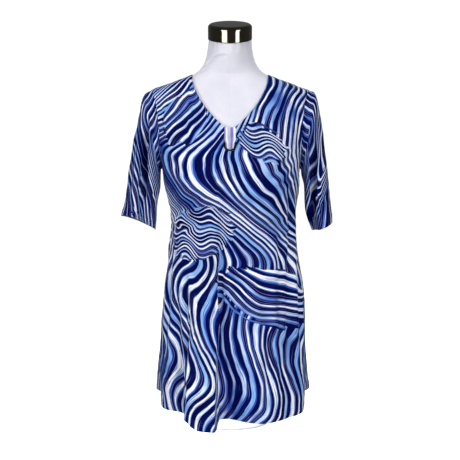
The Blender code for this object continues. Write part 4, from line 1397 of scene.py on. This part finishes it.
def dress_ring(name):
    """The ring as uneven wire, in the slant that the front gives it."""
    top_z, low_z = RING_CENTRE_Z + RING_RADIUS, RING_CENTRE_Z - RING_RADIUS
    (top, low), (top_normal, low_normal) = surface_at([0.0, 0.0], [top_z, low_z])
    top = Vector(top) + Vector(top_normal) * (SEAM_GAP + RING_WIRE)
    low = Vector(low) + Vector(low_normal) * (3.0 * SEAM_GAP + TAB_THICKNESS + RING_WIRE)
    upward = (top - low).normalized()
    right = Vector((1, 0, 0))
    facing = right.cross(upward)
    turn = Matrix((right, facing.cross(right), facing)).transposed().to_4x4()
    steps, sides = 96, 20
    bm = bmesh.new()
    rings = []
    for k in range(steps):
        a = math.tau * k / steps
        wire = RING_WIRE * (1.06 + 0.03 * math.sin(9 * a) + 0.02 * math.sin(17 * a + 1.0))
        ring = []
        for j in range(sides):
            b = math.tau * j / sides
            reach = RING_RADIUS + wire * math.cos(b) * 0.96
            ring.append(bm.verts.new((reach * math.cos(a), reach * math.sin(a), wire * math.sin(b))))
        rings.append(ring)
    for k in range(steps):
        for j in range(sides):
            a, b = rings[k], rings[(k + 1) % steps]
            bm.faces.new((a[j], b[j], b[(j + 1) % sides], a[(j + 1) % sides]))
    bmesh.ops.transform(bm, matrix=Matrix.Translation((top + low) / 2) @ turn, verts=bm.verts)
    bmesh.ops.recalc_face_normals(bm, faces=bm.faces)
    thing = from_bmesh(name, bm, bronze())
    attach(thing, "root")
    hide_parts("neck_ring")
    return thing


def bronze():
    """Dark bronze, lighter and duller in patches."""
    material, shader = new_material("dark_bronze", (0.20, 0.15, 0.07), 0.3, 1.0)
    nodes = Nodes(material)
    where = nodes.add("ShaderNodeTexCoord").outputs["Object"]
    patches = nodes.noise(where, 260.0, 4.0)
    dark, worn = (0.007, 0.005, 0.003, 1.0), (0.040, 0.032, 0.018, 1.0)
    colour = nodes.mix_colour(dark, worn, nodes.smooth(patches, 0.40, 0.75))
    nodes.join(colour, shader.inputs["Base Color"])
    nodes.join(nodes.mix_value(0.22, 0.42, patches), shader.inputs["Roughness"])
    return material


# Dress form


def dress_form(name):
    """The torso and neck in their jersey cover."""
    z = np.linspace(FORM_SECTIONS[0].z, FORM_SECTIONS[-1].z, FORM_ROWS)
    angle = np.arange(FORM_SIDES) * 360.0 / FORM_SIDES
    grid_z, grid_angle = np.meshgrid(z, angle, indexing="ij")
    row = through_rows(FORM_SECTIONS, grid_z)
    point = ellipse_point(FORM_SECTIONS, grid_angle, grid_z)
    ahead = np.clip(-point[..., 1] / 0.05, 0.0, 1.0)
    point[..., 1] -= bust_out(point[..., 0], grid_z) * ahead
    middle = (row[..., 4] - row[..., 3]) / 2
    point[..., 2] += np.tan(np.radians(row[..., 6])) * (point[..., 1] - middle)
    normals = grid_normals(point, True)
    if np.sum(normals * (point - point.mean(axis=1, keepdims=True))) < 0:
        normals = -normals

    # Gathers under the cap, slack on the neck and the seam down the middle of the front
    near_cap = ease((grid_z - 0.838) / 0.028)
    turn = np.radians(grid_angle)
    gathers = np.cos(turn * 21 + 2.2 * np.sin(turn * 3 + 1.0)) * (0.6 + 0.4 * np.sin(turn * 5 + 0.4))
    slack = np.cos(grid_z * math.tau / 0.0062)
    out = -0.0009 * near_cap * (1.0 + gathers) + 0.0003 * near_cap * slack
    for crease in NECK_CREASES:
        route = smooth_route(crease.route)
        column = (route[:, 0] % 360.0) / 360.0 * FORM_SIDES
        row_at = (route[:, 1] - z[0]) / (z[-1] - z[0]) * (FORM_ROWS - 1)
        line = point[np.round(row_at).astype(int), np.round(column).astype(int) % FORM_SIDES]
        out += crease_field(point, normals, line, crease)
    seam = np.abs(point[..., 0] - 0.001)
    is_front = point[..., 1] < 0
    out -= 0.0006 * np.exp(-((seam / 0.0022) ** 2)) * is_front
    point = point + normals * out[..., None]

    around = arc_lengths(point, 1, closed=True)
    up = arc_lengths(point, 0)
    up = np.concatenate((up, up[:, :1]), axis=1)
    rows, columns = point.shape[:2]
    corners = grid_faces(rows, columns, True)
    index = corners[:, 0] * columns + corners[:, 1] % columns
    ends = [list(range(columns)), list(range((rows - 1) * columns, rows * columns))]
    mesh = bpy.data.meshes.new(name)
    mesh.from_pydata(point.reshape(-1, 3).tolist(), [], index.T.tolist() + ends)
    uv = mesh.uv_layers.new(name="flat")
    picked = np.stack((around, up), axis=-1)[corners[:, 0].T.ravel(), corners[:, 1].T.ravel()]
    picked = np.concatenate((picked, np.zeros((2 * columns, 2))))
    uv.data.foreach_set("uv", picked.astype(np.float32).ravel())
    face_outward(mesh)
    thing = link_mesh(name, mesh, [cover_cloth()])
    mesh.set_sharp_from_angle(angle=math.radians(FORM_SHARP_ANGLE))
    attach(thing, "root")
    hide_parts("form_torso")
    return thing


def cover_cloth():
    """White jersey with a cool tint."""
    material, shader = new_material(
        "form_cover_jersey", (0.82, 0.81, 0.88), 0.75, sheen_weight=0.15, sheen_roughness=0.5
    )
    nodes = Nodes(material)
    u, v = nodes.layer("flat")
    where = nodes.add("ShaderNodeTexCoord").outputs["Object"]
    cloud = nodes.noise(where, 22.0, 4.0)
    shaded, plain = (0.69, 0.685, 0.775, 1.0), (0.74, 0.735, 0.815, 1.0)
    colour = nodes.mix_colour(shaded, plain, nodes.smooth(cloud, 0.3, 0.7))
    nodes.join(colour, shader.inputs["Base Color"])
    knit_bump(nodes, shader, u, v, 0.35)
    return material


def dress_cap(name):
    """The neck cap, turned, with a rounded top edge."""
    arc = []
    for k in range(CAP_ARC_STEPS + 1):
        turn = math.radians(90.0) * k / CAP_ARC_STEPS
        radius = CAP_RADIUS - CAP_ROUNDING * (1 - math.cos(turn))
        arc.append((radius, CAP_HEIGHT - CAP_ROUNDING * (1 - math.sin(turn))))
    # The bottom with its small bevel, the straight side, the arc and the faintly domed top
    profile = [(0.0, SEAM_GAP), (CAP_RADIUS - CAP_BEVEL, SEAM_GAP), (CAP_RADIUS, SEAM_GAP + CAP_BEVEL)]
    profile += [(CAP_RADIUS, 0.0018), (CAP_RADIUS, 0.024)] + arc
    profile += [(0.030, CAP_HEIGHT + 0.0002), (0.012, CAP_HEIGHT + 0.0003), (0.0, CAP_HEIGHT + 0.0003)]
    bm = bmesh.new()
    verts = [bm.verts.new((radius, 0.0, z)) for radius, z in profile]
    edges = [bm.edges.new(pair) for pair in zip(verts, verts[1:])]
    bmesh.ops.spin(
        bm, geom=verts + edges, cent=(0, 0, 0), axis=(0, 0, 1),
        angle=math.tau, steps=CAP_SIDES, use_merge=True,
    )
    bmesh.ops.remove_doubles(bm, verts=bm.verts, dist=0.00001)
    place = Matrix.Translation(CAP_CENTRE) @ Matrix.Rotation(math.radians(NECK_TILT), 4, "X")
    bmesh.ops.transform(bm, matrix=place, verts=bm.verts)
    bmesh.ops.recalc_face_normals(bm, faces=bm.faces)
    thing = from_bmesh(name, bm, lacquer())
    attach(thing, "root")
    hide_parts("form_cap")
    return thing


def lacquer():
    """Gloss black-brown lacquer with faint turning marks."""
    material, shader = new_material(
        "cap_lacquer_gloss", (0.010, 0.008, 0.005), 0.06, ior=1.5, specular_tint=(1.0, 0.96, 0.86, 1.0)
    )
    nodes = Nodes(material)
    where = nodes.add("ShaderNodeTexCoord").outputs["Object"]
    marks = nodes.noise(where, 90.0, 5.0)
    colour = nodes.mix_colour((0.0010, 0.0008, 0.0003, 1.0), (0.0026, 0.0021, 0.0009, 1.0), marks)
    nodes.join(colour, shader.inputs["Base Color"])
    nodes.join(nodes.mix_value(0.05, 0.10, nodes.smooth(marks, 0.4, 0.7)), shader.inputs["Roughness"])
    return material


def painted_metal():
    """White powder coat with fine orange peel."""
    material, shader = new_material("stand_powder_coat", (0.85, 0.85, 0.86), 0.35)
    nodes = Nodes(material)
    where = nodes.add("ShaderNodeTexCoord").outputs["Object"]
    peel = nodes.noise(where, 900.0, 2.0)
    wear = nodes.noise(where, 40.0, 4.0)
    colour = nodes.mix_colour((0.80, 0.80, 0.81, 1.0), (0.88, 0.88, 0.88, 1.0), nodes.smooth(wear, 0.35, 0.6))
    nodes.join(colour, shader.inputs["Base Color"])
    nodes.bump(shader, peel, 0.2)
    return material


# Studio


def add_studio():
    """White floor and background, and the lights."""
    mesh = bpy.data.meshes.new("studio_floor")
    half = 9.0
    corners = [(-half, -half, 0), (half, -half, 0), (half, half, 0), (-half, half, 0)]
    mesh.from_pydata(corners, [], [(0, 1, 2, 3)])
    material, shader = new_material("studio_floor", (0.9, 0.9, 0.9), 0.9)
    shader.inputs["Emission Color"].default_value = (1.0, 1.0, 1.0, 1.0)
    shader.inputs["Emission Strength"].default_value = 0.88
    mesh.materials.append(material)
    floor = bpy.data.objects.new("studio_floor", mesh)
    floor.visible_diffuse = False
    floor.visible_glossy = False
    bpy.context.scene.collection.objects.link(floor)

    world = bpy.data.worlds.new("studio")
    bpy.context.scene.world = world
    world.use_nodes = True
    nodes = world.node_tree.nodes
    links = world.node_tree.links
    plain = nodes["Background"]
    plain.inputs["Color"].default_value = (1.0, 1.0, 1.0, 1.0)
    plain.inputs["Strength"].default_value = 0.18
    seen = nodes.new("ShaderNodeBackground")
    seen.inputs["Color"].default_value = (1.0, 1.0, 1.0, 1.0)
    seen.inputs["Strength"].default_value = 1.05
    path = nodes.new("ShaderNodeLightPath")
    both = nodes.new("ShaderNodeMixShader")
    links.new(path.outputs["Is Camera Ray"], both.inputs[0])
    links.new(plain.outputs[0], both.inputs[1])
    links.new(seen.outputs[0], both.inputs[2])
    links.new(both.outputs[0], nodes["World Output"].inputs[0])

    add_light("left_softbox", azimuth=-52.0, distance=2.2, height=0.85, size=(0.70, 1.7), power=28.0)
    add_light("front_softbox", azimuth=23.0, distance=2.5, height=0.72, size=(0.9, 1.3), power=29.0)
    add_light(
        "low_bounce", azimuth=24.0, distance=1.1, height=0.10, size=(1.1, 0.18), power=2.8,
        target=(0.03, 0.0, 0.10),
    )
    add_light("top_softbox", azimuth=0.0, distance=0.9, height=2.6, size=(1.6, 1.2), power=16.5)
    add_light("back_softbox", azimuth=160.0, distance=2.2, height=1.2, size=(0.9, 1.7), power=30.0)
    add_light("back_fill", azimuth=-150.0, distance=2.4, height=0.9, size=(0.9, 1.5), power=12.0)
    # Two tall strips that show as white bars in the cap
    strips = (("left_strip", -30.0, 0.62, 75.0), ("right_strip", 41.0, 0.44, 55.0))
    for name, azimuth, width, power in strips:
        add_light(name, azimuth, distance=1.25, height=0.35, size=(width, 1.4), power=power, only_cap=True)
    # Light from under the skirt, as the white floor gives it
    add_light(
        "floor_glow", azimuth=0.0, distance=0.03, height=0.12, size=(0.10, 0.10), power=0.30,
        target=(0.0, -0.03, 0.0),
    )
    bpy.context.scene.view_settings.view_transform = "Standard"


def add_light(name, azimuth, distance, height, size, power, only_cap=False, target=(0.0, 0.0, 0.5)):
    """An area light, azimuth 0 in front and positive to the +X side. It shines on the cap alone or on all
    else."""
    light = bpy.data.lights.new(name, "AREA")
    light.shape = "RECTANGLE"
    light.size, light.size_y = size
    light.energy = power
    lamp = bpy.data.objects.new(name, light)
    turn = math.radians(azimuth)
    lamp.location = (distance * math.sin(turn), -distance * math.cos(turn), height)
    aim = Vector(target) - lamp.location
    if only_cap:
        aim.z = 0.0
    lamp.rotation_euler = aim.to_track_quat("-Z", "Y").to_euler()
    lamp.visible_camera = False
    lamp.light_linking.receiver_collection = LIT_CAP if only_cap else LIT_REST
    bpy.context.scene.collection.objects.link(lamp)


def add_camera():
    camera = bpy.data.objects.new("camera", bpy.data.cameras.new("camera"))
    rise = math.radians(CAMERA_ELEVATION)
    back = Vector((0.0, -math.cos(rise), math.sin(rise)))
    camera.location = Vector(TARGET) + back * CAMERA_DISTANCE
    camera.rotation_euler = (-back).to_track_quat("-Z", "Y").to_euler()
    camera.data.sensor_width = 36.0
    camera.data.lens = LENS
    bpy.context.scene.collection.objects.link(camera)
    bpy.context.scene.camera = camera


# Scene

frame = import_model()
LIT_CAP = bpy.data.collections.new("lit_by_strips")
LIT_REST = bpy.data.collections.new("lit_by_softboxes")
add_camera()
add_studio()

# Right and wrong side of the cloth
BODY_JERSEY = [printed_jersey("body_jersey", 0.0, 0.28), printed_jersey("body_jersey_wrong_side", 0.25, 0.28)]
# The sleeves print fewer light stripes: partly the sleeves' own darker print, partly painted shade for the
# shaded hanging sleeves
SLEEVE_JERSEY = [
    printed_jersey("sleeve_jersey", 0.0, 0.10),
    printed_jersey("sleeve_jersey_wrong_side", 0.20, 0.10),
]
THREAD, _ = new_material("navy_thread", (0.02, 0.03, 0.16), 0.6)

dress_form("form_cover")
dress_cap("form_cap_lacquered")
form_tree = tree_of(bpy.data.objects["form_cover"])
for node, is_front, creases, motifs, seed in (
    ("front", True, FRONT_CREASES, (FRONT_ARCS, FRONT_RIPPLES), 3),
    ("back", False, BACK_CREASES, (BACK_ARCS, BACK_RIPPLES), 11),
):
    panel = dress_panel(f"{node}_jersey", is_front, creases, motifs, seed, form_tree, THREAD)
    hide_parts(node)
for node, side, rings, creases, motifs, seed in (
    ("sleeve_left", -1, LEFT_SLEEVE, LEFT_SLEEVE_CREASES, (LEFT_ARCS, LEFT_RIPPLES), 5),
    ("sleeve_right", 1, RIGHT_SLEEVE, RIGHT_SLEEVE_CREASES, (RIGHT_ARCS, RIGHT_RIPPLES), 8),
):
    sleeve = dress_sleeve(f"{node}_jersey", side, rings, creases, motifs, seed, THREAD)
    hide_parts(node)
dress_ring("neck_ring_bronze")
dress_tab("neck_tab_pleated")

coat = painted_metal()
for stand_part in ("stand_pole", "stand_base"):
    finishes = frame["nodes"][stand_part].data.materials
    finishes.clear()
    finishes.append(coat)

# The strips light the cap alone, the other lights all else
for thing in bpy.context.scene.objects:
    if thing.type == "MESH":
        (LIT_CAP if thing.name == "form_cap_lacquered" else LIT_REST).objects.link(thing)
